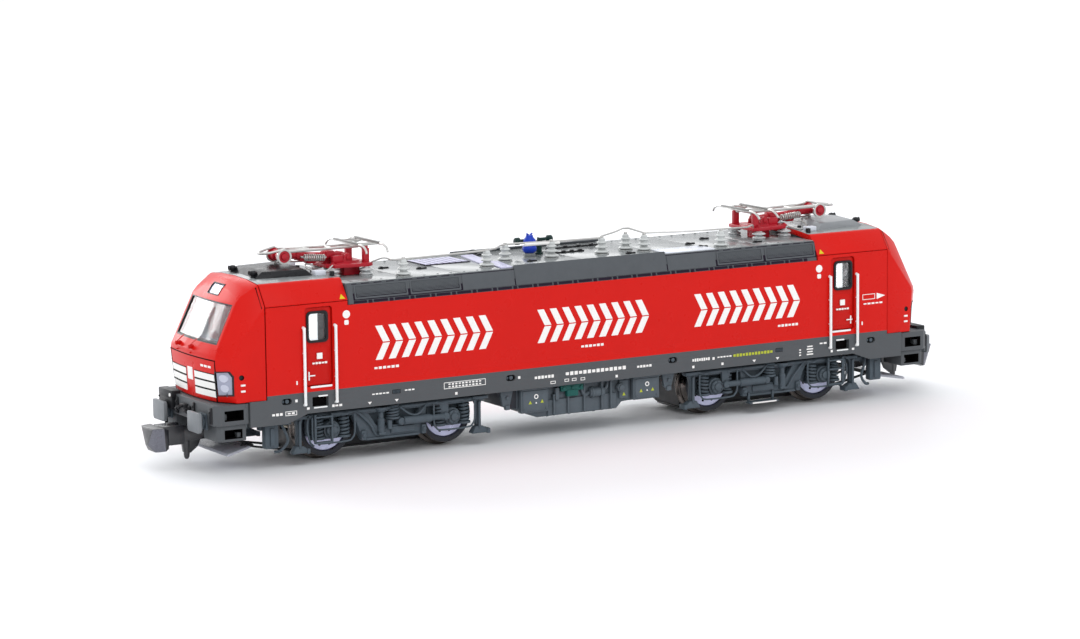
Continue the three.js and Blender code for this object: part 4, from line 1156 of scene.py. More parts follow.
def make_pan_base(end, sign):
    form = Form(0)
    frame_outline = [(30.9, -3.2), (31.7, -3.7), (36.6, -3.1), (37.4, -2.0), (37.4, 2.0),
                     (36.6, 3.1), (31.7, 3.7), (30.9, 3.2)]
    hollow = [(31.9, -2.3), (31.9, 2.3), (36.2, 1.9), (36.5, 0.9), (36.5, -0.9), (36.2, -1.9)]
    form.plate(frame_outline, 25.5, 25.95, "xy", holes=[hollow], bevel=0.1)
    form.box(32.2, 34.6, -1.9, 0.4, 24.25, 26.2, 0.12)
    form.box(31.6, 35.8, -2.3, 2.3, 25.55, 26.05, 0.1)
    form.box(34.6, 36.2, -1.75, -0.85, 25.9, 27.0, 0.15)
    for side in (1, -1):
        ear = [(33.15, 25.7), (34.75, 25.7), (34.5, 26.7), *arc(PAN_PIVOT, 0.55, 10, 170, 6), (33.2, 26.6)]
        form.plate(ear, side * 1.32, side * 1.68, "xz", bevel=0.06)
        form.drum("y", PAN_PIVOT, 0.3, side * 1.25, side * 1.9, 14, 0.06)
        form.box(31.2, 32.1, side * 2.55 - 0.35, side * 2.55 + 0.35, 25.7, 27.9, 0.1)
        form.box(31.3, 32.0, side * 2.55 - 0.15, side * 2.55 + 0.15, 27.8, 28.15, 0.06)
        for x, y in ((31.9, 3.2), (36.7, 2.6)):
            form.drum("z", (x, side * y), 0.42, 25.8, 26.08, 16, 0.06)
            form.drum("z", (x, side * y), 0.2, 26.0, 26.25, 6, 0.03)
        form.hull([(34.4, side * 0.35, 25.8), (35.4, side * 0.35, 25.8), (34.7, side * 0.35, 26.35),
                   (35.2, side * 0.35, 26.35), (34.4, side * 0.6, 25.8), (35.4, side * 0.6, 25.8),
                   (34.7, side * 0.6, 26.35), (35.2, side * 0.6, 26.35)], 0.05)
    form.finish(f"pan_frame_{end}", "locomotive", "pantograph_red", [M["pan_red"]],
                [f"pantograph_base_{end}"], flip_x=sign < 0)

    feet = Form(0)
    for side in (1, -1):
        for x, y in ((31.9, 3.2), (36.7, 2.6)):
            ribbed(feet, x, side * y, 24.22, 25.6, 2, 0.45, 1.0)
    feet.finish(f"pan_insulators_{end}", "locomotive", "insulator_ivory", [M["milk"]], flip_x=sign < 0)

    loop = Form(0)
    loop.pipe(smooth_path([(38.9, -1.0, 25.95), (40.2, -1.4, 26.2), (40.4, -2.8, 25.7),
                           (38.6, -3.9, 25.35), (36.9, -3.0, 25.95)], 5), 0.1)
    loop.pipe(smooth_path([(31.0, -3.1, 26.0), (30.0, -4.4, 26.6), (29.0, -4.6, 26.4)], 4), 0.12)
    loop.finish(f"pan_leads_{end}", "locomotive", "pantograph_wire", [M["wire"]], flip_x=sign < 0)


def along(a, b, t):
    """The point a fraction t of the way from a to b."""
    return tuple(p + (q - p) * t for p, q in zip(a, b))


def make_pan_arms(end, sign):
    lower = Form(0)
    hinge, knee = (PAN_PIVOT[0], 0, PAN_PIVOT[1]), (PAN_KNEE[0], 0, PAN_KNEE[1])
    lower.drum("y", PAN_PIVOT, 0.55, -1.22, 1.22, 18, 0.1)
    lower.pipe([hinge, along(hinge, knee, 0.3)], 0.62, 14)
    lower.pipe([along(hinge, knee, 0.28), knee], 0.5, 14)
    lower.box(38.2, 39.6, -0.9, 0.5, 26.1, 27.5, 0.2)
    lower.box(39.8, 40.6, -0.6, 0.6, 26.5, 27.4, 0.15)
    lower.box(35.4, 36.7, -0.8, 0.8, 26.7, 27.65, 0.2)
    for t in (0.3, 0.72):
        lower.pipe([along(hinge, knee, t - 0.025), along(hinge, knee, t + 0.025)], 0.66, 14)
    lower.drum("y", PAN_KNEE, 0.45, -1.9, 1.9, 16, 0.08)
    lower.drum("y", PAN_KNEE, 0.75, 0.4, 1.2, 18, 0.12)
    lower.drum("y", PAN_KNEE, 0.75, -1.2, -0.4, 18, 0.12)
    rib = [along(hinge, knee, 0.12), along(hinge, knee, 0.42)]
    lower.plate([(rib[0][0], rib[0][2] - 0.45), (rib[1][0], rib[1][2] - 0.3),
                 (rib[1][0] - 0.6, rib[1][2] - 0.95), (rib[0][0] + 0.6, rib[0][2] - 1.0)],
                -0.18, 0.18, "xz", bevel=0.05)
    lower.finish(f"pan_lower_tube_{end}", f"pan_lower_{end}", "pantograph_red", [M["pan_red"]],
                 [f"pantograph_lower_arm_{end}"], flip_x=sign < 0)

    coil = Form(0)
    start, stop = along(hinge, knee, 0.34), along(hinge, knee, 0.66)
    steps, path = 96, []
    for i in range(steps + 1):
        point = along(start, stop, i / steps)
        angle = 2 * math.pi * i / 10
        path.append((point[0], point[1] + 0.4 * math.cos(angle) - 1.15,
                     point[2] + 0.4 * math.sin(angle) - 0.15))
    coil.pipe(path, 0.1, 5)
    for t in (0.32, 0.68):
        x, y, z = along(hinge, knee, t)
        coil.box(x - 0.15, x + 0.15, -1.1, 0.0, z - 0.22, z + 0.02, 0.04)
    coil.finish(f"pan_spring_{end}", f"pan_lower_{end}", "pantograph_wire", [M["wire"]],
                flip_x=sign < 0)

    upper = Form(0)
    head = (PAN_HEAD[0], 0, PAN_HEAD[1])
    rings = Form(0)
    for side in (1, -1):
        ring = [(0.5, 1.37), (0.88, 1.37), (0.9, 1.44), (0.9, 1.66), (0.8, 1.73), (0.5, 1.73)]
        rings.turned([(r, side * h) for r, h in ring], "y", PAN_KNEE, 24, closed=True)
        rim = [(0.82, 1.5), (1.06, 1.5), (1.06, 1.84), (0.82, 1.84)]
        upper.turned([(r, side * h) for r, h in rim], "y", PAN_KNEE, 28, closed=True)
        upper.pipe([(knee[0] - 0.2, side * 1.55, knee[2] + 1.0), (45.4, side * 1.3, 28.1),
                    (46.5, side * 0.5, 28.0), (46.5, 0, 28.0)], 0.17, 8)
        upper.pipe([(knee[0] - 0.6, side * 1.55, knee[2] + 0.62), (38.0, side * 1.4, 28.05),
                    (head[0] + 0.4, side * 1.02, head[2] - 0.02)], 0.19, 10)
        upper.pipe([(knee[0] - 0.3, side * 1.55, knee[2] + 0.8), (knee[0] - 4.4, side * 0.2, 28.05)], 0.13, 8)
    for x, y in ((36.0, 1.25), (39.2, 1.42)):
        upper.pipe([(x, -y, 28.04), (x, y, 28.04)], 0.14, 8)
    upper.drum("y", PAN_HEAD, 0.2, -2.15, 2.15, 12, 0.05)
    rings.finish(f"pan_knee_rings_{end}", f"pan_upper_{end}", "pantograph_red", [M["pan_red"]],
                 [f"pantograph_upper_arm_{end}"], flip_x=sign < 0)
    upper.finish(f"pan_upper_tubes_{end}", f"pan_upper_{end}", "pantograph_wire", [M["wire"]],
                 flip_x=sign < 0)


def make_pan_head(end, sign):
    """Two carbon strips with turned-down horns, hung from the head pin."""
    form = Form(0)
    for offset in (-1.6, 1.6):
        x = PAN_HEAD[0] + offset
        form.paint = 1
        form.box(x - 0.2, x + 0.2, -3.7, 3.7, 28.5, 28.75, 0.06)
        form.paint = 0
        form.box(x - 0.16, x + 0.16, -3.9, 3.9, 28.34, 28.55, 0.05)
        for side in (1, -1):
            horn = [(x, side * 3.7, 28.55), (x, side * 4.6, 28.5), (x, side * 5.4, 28.25),
                    (x + 0.05, side * 5.9, 27.9), (x + 0.1, side * 6.1, 27.6)]
            form.pipe(smooth_path(horn, 4), 0.16, 8)
            form.pipe([(x, side * 1.75, 28.4), (x * 0.5 + PAN_HEAD[0] * 0.5, side * 1.8, 28.2),
                       (PAN_HEAD[0], side * 1.8, 28.0)], 0.12, 8)
    for side in (1, -1):
        form.pipe([(PAN_HEAD[0] - 1.6, side * 3.1, 28.42), (PAN_HEAD[0] + 1.6, side * 3.1, 28.42)], 0.12, 8)
        form.pipe([(PAN_HEAD[0] - 1.6, side * 1.75, 28.4), (PAN_HEAD[0] + 1.6, side * 1.75, 28.4)], 0.11, 8)
        ring = [(0.18, 1.62), (0.34, 1.62), (0.34, 2.0), (0.18, 2.0)]
        form.turned([(r, side * h) for r, h in ring], "y", PAN_HEAD, 14, closed=True)
    form.finish(f"pan_collector_{end}", f"pan_head_{end}", "pantograph_wire",
                [M["wire"], M["carbon"]], [f"pantograph_head_{end}"], flip_x=sign < 0)

    rod = Form(0)
    rod.pipe([(ROD_PIVOT[0], ROD_Y, ROD_PIVOT[1]), (43.5, ROD_Y, 26.45)], 0.12, 8)
    rod.drum("y", ROD_PIVOT, 0.26, ROD_Y - 0.18, ROD_Y + 0.18, 12, 0.04)
    rod.drum("y", (43.5, 26.45), 0.24, ROD_Y - 0.18, ROD_Y + 0.18, 12, 0.04)
    rod.finish(f"pan_rod_bar_{end}", f"pan_rod_{end}", "pantograph_wire", [M["wire"]],
               [f"pantograph_control_rod_{end}"], flip_x=sign < 0)


make_deck()
make_roof_fittings()
make_busbar()
make_breaker()
for end, sign in ENDS:
    make_pan_base(end, sign)
    make_pan_arms(end, sign)
    make_pan_head(end, sign)


# ------------------------------------------------------------------ ends: beam, buffers, coupler


def make_buffer_beam(end, sign):
    flip = dict(flip_x=sign < 0)
    beam = Form(0)
    upper = [(52.8, -9.05), (56.9, -9.05), (57.7, -8.3), (57.7, 8.3), (56.9, 9.05), (52.8, 9.05)]
    beam.plate(upper, 6.75, 9.5, "xy", bevel=0.1)
    lower = [(53.1, -8.75), (56.7, -8.75), (57.2, -8.1), (57.2, -4.3), (53.1, -4.3)]
    for side in (1, -1):
        beam.plate([(x, -y * side) for x, y in lower], 4.55, 6.8, "xy", bevel=0.1)
    # The cut walls of the openings take near-black: painted shade inside them.
    for side in (1, -1):
        cutter = Form(1)
        near, far = sorted((side * 6.5, side * 10))
        cutter.box(53.55, 56.35, near, far, 7.35, 8.75, 0)
        cutter.box(53.65, 56.25, near, far, 4.9, 6.15, 0)
        beam.carve(cutter)
    beam.paint = 0
    for side in (1, -1):
        near, far = sorted((side * 7.4, side * 8.3))
        beam.box(55.7, 56.3, near, far, 7.4, 8.2, 0.05)
        beam.box(53.7, 54.2, near, far, 4.95, 5.6, 0.05)
        beam.drum("y", (53.15, 9.15), 0.16, side * 8.9, side * 9.12, 10, 0.03)
    beam.finish(f"end_beam_{end}", "locomotive", "slate_plastic", [M["sill"], M["seam"]],
                [f"buffer_beam_{end}"], **flip)

    gear = Form(0)
    near = 1 if sign < 0 else -1
    y0, y1 = sorted((near * 3.1, near * 7.3))
    gear.box(57.0, 58.4, y0, y1, 8.9, 9.95, 0.12)
    gear.box(57.6, 58.3, y0 + 0.2, y1 - 0.2, 7.4, 8.95, 0.1)
    for y in (-7.9, -2.6, 2.6, 7.9):
        gear.box(57.6, 57.95, y - 0.28, y + 0.28, 7.0, 9.2, 0.06)
        gear.drum("x", (y, 8.6), 0.16, 57.7, 58.1, 8, 0.03)
    for side in (1, -1):
        hose = [(57.7, side * 1.3, 8.1), (58.35, side * 1.3, 8.1), (58.55, side * 1.5, 7.85),
                (58.2, side * 2.0, 7.65), (57.7, side * 2.4, 7.75)]
        gear.pipe(smooth_path(hose, 5), 0.17, 8)
        gear.box(57.6, 58.0, side * 1.3 - 0.3, side * 1.3 + 0.3, 7.8, 8.5, 0.06)
    gear.pipe([(58.2, near * 5.4, 7.5), (58.2, near * 5.4, 4.6)], 0.24, 8)
    gear.box(57.5, 58.3, -0.7, 0.7, 7.5, 8.7, 0.12)
    gear.pipe([(58.2, 0, 8.4), (58.75, 0, 8.35), (58.9, 0, 8.05)], 0.2, 8)
    gear.paint = 1
    gear.drum("x", (near * 3.6, 9.35), 0.24, 58.3, 58.5, 14, 0.04)
    gear.finish(f"end_fittings_{end}", "locomotive", "slate_plastic", [M["black"], M["white"]], **flip)


def make_buffers(end, sign):
    for name, side in SIDES:
        form = Form(0)
        y, z = 5.47, 7.1
        head = rounded(y - 1.8, y + 1.8, z - 1.35, z + 1.35, 0.2, 3)
        low = [*arc((y + 1.35, z - 0.9), 0.45, -90, 0, 4), *arc((y + 1.6, z + 1.15), 0.2, 0, 90, 3),
               *arc((y - 1.6, z + 1.15), 0.2, 90, 180, 3), *arc((y - 1.35, z - 0.9), 0.45, 180, 270, 4)]
        form.plate(low, 58.85, 59.3, "yz", bevel=0.1, segments=3)
        form.plate([(y + (u - y) * 0.8, z + (v - z) * 0.8) for u, v in head], 58.6, 58.9, "yz", bevel=0.06)
        form.drum("x", (y, z), 0.75, 57.7, 58.7, 20, 0.06)
        form.paint = 1
        form.plate(rounded(y - 1.15, y + 1.15, z - 1.1, z + 1.1, 0.25), 57.6, 57.95, "yz", bevel=0.07)
        form.drum("x", (y, z), 0.98, 57.9, 58.35, 20, 0.08)
        for dy in (-0.9, 0.9):
            for dz in (-0.85, 0.85):
                form.drum("x", (y + dy, z + dz), 0.13, 57.9, 58.05, 6, 0.02)
        form.finish(f"buffer_head_{end}_{name}", "locomotive", "buffer_grey",
                    [M["buffer"], M["bogie"]], [f"buffer_{end}_{name}"],
                    flip_x=sign < 0, flip_y=side < 0)


def make_coupler(end, sign):
    flip = dict(flip_x=sign < 0)
    pocket = Form(0)
    outline = [(49.9, -1.6), (53.0, -1.6), (54.2, -1.9), (54.2, 1.9), (53.0, 1.6), (49.9, 1.6)]
    pocket.plate(outline, 3.7, 4.1, "xy", bevel=0.08)
    pocket.plate(outline, 5.15, 5.5, "xy", bevel=0.08)
    for side in (1, -1):
        pocket.box(49.9, 54.1, side * 1.6 - 0.18, side * 1.6 + 0.18, 3.8, 5.4, 0.08)
    pocket.drum("z", (50.8, 0), 0.9, 3.5, 5.7, 20, 0.08)
    pocket.drum("y", (53.6, 4.6), 0.5, -1.95, 1.95, 16, 0.06)
    pocket.finish(f"coupler_box_{end}", f"coupler_swing_{end}", "black_plastic", [M["black"]],
                  [f"coupler_pocket_{end}"], **flip)

    hook = Form(0)
    hook.box(54.85, 58.8, -1.3, 1.3, 3.85, 5.45, 0.12)
    hook.box(58.7, 61.9, -1.45, 1.45, 3.45, 6.05, 0.1)
    head = [(61.3, 2.1, 3.2), (61.3, 2.1, 5.7), (62.0, 2.3, 6.0), (61.8, 2.3, 2.9),
            (63.5, 1.9, 6.0), (63.6, 1.2, 5.7), (63.6, 0.4, 3.6), (62.9, 1.2, 2.7), (62.3, 0.9, 2.6)]
    hook.hull([(x, s * y, z) for s in (1, -1) for x, y, z in head], 0.04, 2, 14.0)
    # Painted highlight: the facets of the head that face forward and sideways take a lighter, shinier grey.
    hook.repaint(lambda c, n: 1 if c.x > 61.9 and n.x > 0.25 and abs(n.y) > 0.25 and n.z < 0.1 else 0)
    hook.plate([(55.7, 3.9), (58.6, 3.9), (58.3, 2.1), (57.3, 1.95), (56.3, 2.7)], -0.3, 0.3, "xz",
               bevel=0.06)
    hook.turned([(0, 1.12), (0.2, 1.15), (0.34, 1.35), (0.42, 1.8), (0.42, 3.9), (0, 3.9)], "z",
                (57.8, 0), 18)
    hook.box(59.0, 60.6, -0.25, 0.25, 5.7, 6.3, 0.08)
    hook.finish(f"coupler_head_{end}", f"coupler_{end}", "black_plastic", [M["hook"], M["face"]],
                [f"coupler_hook_{end}"], **flip)


# ------------------------------------------------------------------ tank and underframe boxes

TANK_SIDE = ((-14.6, 7.2), (-12.4, 4.5), (-11.1, 4.4), (-8.0, 2.9), (4.9, 2.9), (5.8, 3.8),
             (11.6, 4.0), (11.6, 7.2))


def tank_side_fittings(form, side):
    """Cabinets, ribs, valves, pump and hangers down one side of the tank."""

    def wall(a, b):
        return sorted((side * a, side * b))

    form.paint = 0
    for x0, x1, z0 in ((-11.0, -6.6, 3.8), (7.2, 11.5, 3.95)):
        form.box(x0, x1, *wall(7.6, 8.55), z0, 7.1, 0.12)
        form.box(x0 + 0.25, x1 - 0.25, *wall(8.4, 8.66), z0 + 0.25, 6.9, 0.06)
        for x in (x0 + 0.5, x1 - 0.5):
            form.drum("y", (x, z0 + 0.5), 0.12, side * 8.5, side * 8.74, 8, 0.03)
        form.box(x0, x1, *wall(8.3, 8.75), 7.0, 7.2, 0.05)
    for x in (-5.5, -3.2, -0.6, 2.25, 3.75):
        form.box(x - 0.13, x + 0.13, *wall(7.6, 8.25), 3.0, 6.0 if x < -1 else 7.2, 0.05)
    form.box(-6.4, 4.7, *wall(7.6, 7.95), 3.0, 5.2, 0.1)
    form.box(-6.3, 6.9, *wall(7.4, 8.1), 6.95, 7.3, 0.08)
    for x0, x1, z0 in ((-14.0, -11.9, 4.75), (12.25, 14.4, 4.95)):
        hanger = [(x0, 7.1), (x0 + 0.35, z0 + 0.35), (x0 + 0.8, z0), (x1 - 0.7, z0), (x1 - 0.1, 7.1)]
        form.plate(hanger, *wall(7.5, 8.1), "xz", bevel=0.06)
        form.box(x0 + 0.7, x1 - 0.7, *wall(7.7, 8.3), z0 - 0.25, z0 + 0.4, 0.08)
        form.drum("y", ((x0 + x1) / 2, 6.2), 0.25, side * 7.9, side * 8.3, 10, 0.05)
    form.box(-5.35, -4.75, *wall(7.6, 8.4), 5.2, 6.9, 0.1)
    form.box(5.2, 6.7, *wall(7.3, 8.1), 4.3, 6.9, 0.12)
    form.drum("x", (side * 7.9, 5.65), 0.68, 0.3, 2.6, 20, 0.15)
    form.drum("x", (side * 7.9, 5.65), 0.8, 0.55, 0.85, 20, 0.05)
    form.drum("x", (side * 7.9, 5.65), 0.8, 2.0, 2.3, 20, 0.05)
    form.pipe(smooth_path([(0.3, side * 7.9, 5.65), (-0.3, side * 8.0, 5.4), (-0.7, side * 8.0, 5.7),
                           (-0.9, side * 7.9, 6.4)], 4), 0.26, 8)
    form.pipe(smooth_path([(2.6, side * 7.9, 5.65), (3.1, side * 8.0, 6.2), (3.4, side * 7.8, 6.9)], 4),
              0.22, 8)
    form.paint = 1
    form.box(-4.45, -0.8, *wall(7.5, 8.35), 6.25, 7.1, 0.1)
    form.box(-3.5, -1.7, *wall(7.5, 8.45), 5.5, 6.4, 0.1)
    for x in (-4.0, -2.6, -1.2):
        form.drum("y", (x, 6.7), 0.24, side * 8.3, side * 8.5, 12, 0.04)
    form.paint = 0
    form.drum("y", (5.3, 5.95), 0.62, side * 7.9, side * 8.5, 20, 0.12)
    form.drum("y", (5.3, 5.95), 0.4, side * 8.4, side * 8.68, 16, 0.06)


def make_tank():
    form = Form(0)
    form.plate(TANK_SIDE, -7.7, 7.7, "xz", bevel=0.12)
    # Painted shade: the end walls beyond these slices take the dark wheel-rim grey, standing in for the
    # shadow over them.
    form.slice_at((-11.3, 0, 0), (1, 0, 0)).slice_at((11.4, 0, 0), (1, 0, 0))
    form.repaint(lambda c, n: 2 if not -11.3 < c.x < 11.4 else 0)
    for x in (-6.0, -2.5, 1.5):
        form.box(x - 0.2, x + 0.2, -7.2, 7.2, 2.75, 3.1, 0.05)
    for _, side in SIDES:
        tank_side_fittings(form, side)
    form.finish("tank_body", "locomotive", "slate_plastic", [M["tank"], M["valve"], M["rim"]],
                ["underframe_tank"])
    marks = Form(0)
    for _, side in SIDES:
        near, far = sorted((side * 8.6, side * 8.69))
        for x, z in ((-8.65, 6.05), (9.4, 6.1)):
            ring = [(0.2, 8.6), (0.34, 8.6), (0.34, 8.71), (0.2, 8.71)]
            marks.turned([(r, side * h) for r, h in ring], "y", (x, z), 20, closed=True)
            marks.box(x - 0.1, x + 0.1, near, far, z - 1.0, z - 0.8, 0.01)
        marks.paint = 1
        for x, z in ((-9.6, 5.25), (-7.7, 5.3), (8.4, 5.2), (10.3, 5.25), (5.9, 4.9)):
            depth = (near, far) if abs(x) > 6.5 else tuple(sorted((side * 8.05, side * 8.14)))
            marks.plate([(x - 0.26, z - 0.2), (x + 0.26, z - 0.2), (x, z + 0.28)], *depth, "xz", bevel=0.01)
        marks.paint = 0
    marks.finish("tank_marks", "locomotive", "slate_plastic", [M["white"], M["lime"]])


# ------------------------------------------------------------------ bogies

PIVOT_X = 30.7
HALF_BASE = 9.25
AXLE_Z = 4.45


def wheel_profile(side):
    """Half a wheelset, from the middle of the axle to the axle's end, as (radius, y)."""
    half = [(0.8, 0.0), (0.8, 3.3), (1.5, 3.4), (1.6, 3.75), (3.4, 3.8), (4.2, 3.75), (4.42, 3.86),
            (4.45, 3.98), (4.36, 4.12), (4.05, 4.22), (3.93, 4.4), (3.9, 5.75), (3.82, 5.88), (3.35, 5.9),
            (3.2, 5.84), (3.05, 5.6), (2.0, 5.42), (1.4, 5.5), (1.3, 5.8), (1.2, 5.86), (0.8, 5.86)]
    return [(r, side * y) for r, y in half]


def make_wheelset(end, sign, place, offset):
    x = PIVOT_X + offset
    form = Form(0)
    profile = [(0.0, -6.3), (0.7, -6.3), *reversed(wheel_profile(-1)), *wheel_profile(1)[1:],
               (0.7, 6.3), (0.0, 6.3)]
    form.turned(profile, "y", (x, AXLE_Z), 56)

    def paint(c, _normal):
        r = math.hypot(c.x - x, c.z - AXLE_Z)
        if abs(c.y) < 3.3:
            return 2
        if abs(c.y) > 5.8 and 3.25 < r < 3.8:
            return 4
        return 1 if 1.35 < r < 3.3 and abs(c.y) > 5.2 else 0

    form.repaint(paint)
    form.paint = 3
    for side in (1, -1):
        for i in range(10):
            angle = 2 * math.pi * i / 10
            at = (x + 2.45 * math.cos(angle), AXLE_Z + 2.45 * math.sin(angle))
            form.drum("y", at, 0.2, side * 5.35, side * 5.52, 8, 0.02)
    form.finish(f"wheelset_{end}_{place}", f"axle_{end}_{place}", "wheel_metal",
                [M["tyre"], M["disc"], M["steel"], M["seam"], M["rim"]], [f"wheel_pair_{end}_{place}"],
                flip_x=sign < 0)


def strap(form, x0, x1, y, top, low, r=0.16):
    """A U-shaped wire guard hung below the frame."""
    drop = min(1.2, (x1 - x0) * 0.45)
    path = [(x0, y, top), (x0, y, low + drop), (x0 + drop * 0.3, y, low + drop * 0.3),
            (x0 + drop, y, low), (x1 - drop, y, low), (x1 - drop * 0.3, y, low + drop * 0.3),
            (x1, y, low + drop), (x1, y, top)]
    form.pipe(smooth_path(path, 3), r, 8)


def axlebox(form, x):
    """An axlebox with its cap, two coil springs, arms and wire strap; x is the axle."""
    form.drum("y", (x, AXLE_Z), 1.25, 6.2, 7.9, 24, 0.15)
    form.drum("y", (x, AXLE_Z), 0.95, 7.8, 8.35, 24, 0.12)
    form.drum("y", (x, AXLE_Z), 0.55, 8.25, 8.55, 18, 0.08)
    for i in range(6):
        angle = math.radians(30 + 60 * i)
        form.drum("y", (x + 0.78 * math.cos(angle), AXLE_Z + 0.78 * math.sin(angle)), 0.1,
                  8.25, 8.45, 6, 0.02)
    form.hull([(x + dx, y, z) for dx, z in ((-2.5, 3.3), (2.5, 3.3), (-2.7, 3.7), (2.7, 3.7), (-0.9, 5.4),
                                            (0.9, 5.4), (-0.8, 3.2), (0.8, 3.2)) for y in (6.5, 7.6)], 0.12)
    for dx in (-1.95, 1.95):
        form.drum("z", (x + dx, 7.45), 0.95, 3.3, 3.62, 18, 0.06)
        form.drum("z", (x + dx, 7.45), 0.9, 6.35, 6.7, 18, 0.06)
        form.spring(x + dx, 7.45, 3.6, 6.45, 0.68, 0.17, 5)
        form.drum("z", (x + dx, 7.45), 0.36, 3.5, 6.5, 12, 0.03)
    form.plate([(x - 3.3, 3.9), (x - 2.6, 3.3), (x + 2.6, 3.3), (x + 3.3, 3.9), (x + 3.3, 6.6),
                (x - 3.3, 6.6)], 6.1, 6.5, "xz", bevel=0.05)
    strap(form, x - 3.15, x + 3.2, 8.45, 6.5, 2.85, 0.13)


def bogie_frame(form):
    """The cast side frame: a top beam, deep middle plate, brackets and end feet."""
    p = PIVOT_X
    form.plate([(p - 14.0, 6.2), (p + 13.0, 6.2), (p + 13.2, 6.45), (p + 12.9, 6.9), (p - 13.6, 6.9),
                (p - 14.2, 6.6)], 6.6, 8.0, "xz", bevel=0.1)
    form.box(p - 13.6, p + 12.8, 7.9, 8.2, 6.45, 6.8, 0.06)
    middle = [(6.4, 6.5), (5.6, 5.2), (4.7, 2.7), (4.3, 2.5), (-4.1, 2.5), (-4.7, 3.0), (-5.0, 4.2),
              (-5.2, 6.5), (-4.3, 6.5), (-3.6, 4.9), (-2.8, 4.4), (1.8, 4.1), (2.6, 4.5), (3.9, 6.5)]
    form.plate([(p + x, z) for x, z in middle], 6.5, 7.95, "xz", bevel=0.12)
    form.plate([(p + x, z) for x, z in ((5.6, 6.3), (4.4, 3.0), (-4.0, 3.0), (-4.5, 6.3))], 6.3, 6.9, "xz")
    form.box(p - 3.9, p + 4.2, 7.7, 8.1, 2.5, 2.8, 0.06)
    form.box(p - 3.2, p + 0.4, 7.8, 8.15, 3.1, 4.0, 0.1)


def bogie_middle(form):
    """Secondary spring, dampers, brake rigging and pipes between the axles."""
    p = PIVOT_X
    form.drum("z", (p - 0.1, 7.6), 1.05, 5.05, 5.35, 20, 0.06)
    form.spring(p - 0.1, 7.6, 5.3, 7.35, 0.8, 0.18, 4)
    form.drum("z", (p - 0.1, 7.6), 0.5, 5.2, 7.3, 14, 0.03)
    form.drum("x", (8.35, 4.7), 0.42, p - 7.6, p - 2.0, 16, 0.08)
    form.drum("x", (8.35, 4.7), 0.56, p - 5.6, p - 1.4, 16, 0.1)
    form.drum("y", (p - 7.9, 4.7), 0.5, 7.6, 8.7, 14, 0.08)
    form.drum("y", (p - 1.0, 4.7), 0.5, 7.6, 8.7, 14, 0.08)
    form.plate([(p - 8.5, 6.7), (p - 6.9, 6.7), (p - 7.3, 5.6), (p - 7.1, 4.2), (p - 8.4, 4.0)],
               7.7, 8.25, "xz", bevel=0.08)
    cup = [(0, 3.3), (0.42, 3.3), (0.5, 3.6), (0.5, 5.2), (0.36, 5.4), (0.36, 6.1), (0.85, 6.55),
           (0.9, 6.9), (0, 6.9)]
    form.turned(cup, "z", (p + 1.9, 8.05), 18)
    form.box(p + 1.4, p + 2.4, 7.4, 8.5, 3.1, 3.45, 0.08)
    form.turned([(0, 3.8), (0.34, 3.8), (0.34, 5.0), (0, 5.0)], "z", (p + 0.7, 8.3), 14)
    form.pipe(smooth_path([(p + 5.6, 8.1, 6.6), (p + 4.6, 8.3, 5.7), (p + 3.6, 8.3, 4.6),
                           (p + 2.9, 8.1, 3.4), (p + 2.3, 8.0, 3.0)], 5), 0.16, 8)
    form.pipe(smooth_path([(p - 0.9, 8.2, 6.7), (p - 2.3, 8.4, 5.6), (p - 3.6, 8.4, 5.4),
                           (p - 4.6, 8.3, 6.2), (p - 5.2, 8.0, 6.8)], 5), 0.15, 8)
    for dx in (-4.6, 4.6):
        form.box(p + dx - 0.35, p + dx + 0.35, 7.4, 8.3, 2.6, 3.9, 0.1)
        form.drum("y", (p + dx, 3.3), 0.28, 8.2, 8.5, 10, 0.05)


def foot(form, x, wide=1.0):
    """A life guard: a tapered strut ending in a forked horizontal foot."""
    strut = [(x - 0.75, 6.7), (x + 0.75, 6.7), (x + 0.35, 5.6), (x + 0.35, 2.6), (x - 0.35, 2.6),
             (x - 0.35, 5.6)]
    form.plate(strut, 7.2, 7.9, "xz", bevel=0.08)
    form.box(x - 0.18, x + 0.18, 7.7, 8.3, 2.4, 6.2, 0.06)
    form.hull([(x - 1.5 * wide, y, 1.75) for y in (7.0, 8.3)] + [(x + 1.2, y, 1.75) for y in (7.0, 8.3)]
              + [(x - 1.4 * wide, y, 2.2) for y in (7.0, 8.3)] + [(x + 0.6, y, 2.75) for y in (7.2, 8.2)]
              + [(x - 0.5, y, 2.75) for y in (7.2, 8.2)], 0.1)
    form.box(x - 1.6 * wide, x - 1.1 * wide, 6.9, 8.4, 1.65, 2.35, 0.08)


def ladder(form, x0, x1):
    """Two stringers and two rungs outside the outer axlebox."""
    for x in (x0, x1):
        form.plate(rounded(x - 0.14, x + 0.14, 2.9, 6.9, 0.08), 8.35, 8.75, "xz", bevel=0.05)
    for z in (3.0, 5.2, 6.5):
        form.box(x0, x1, 8.2, 8.85, z - 0.12, z + 0.12, 0.05)
    for x in (x0, x1):
        form.box(x - 0.14, x + 0.14, 7.6, 8.5, 6.2, 6.6, 0.04)


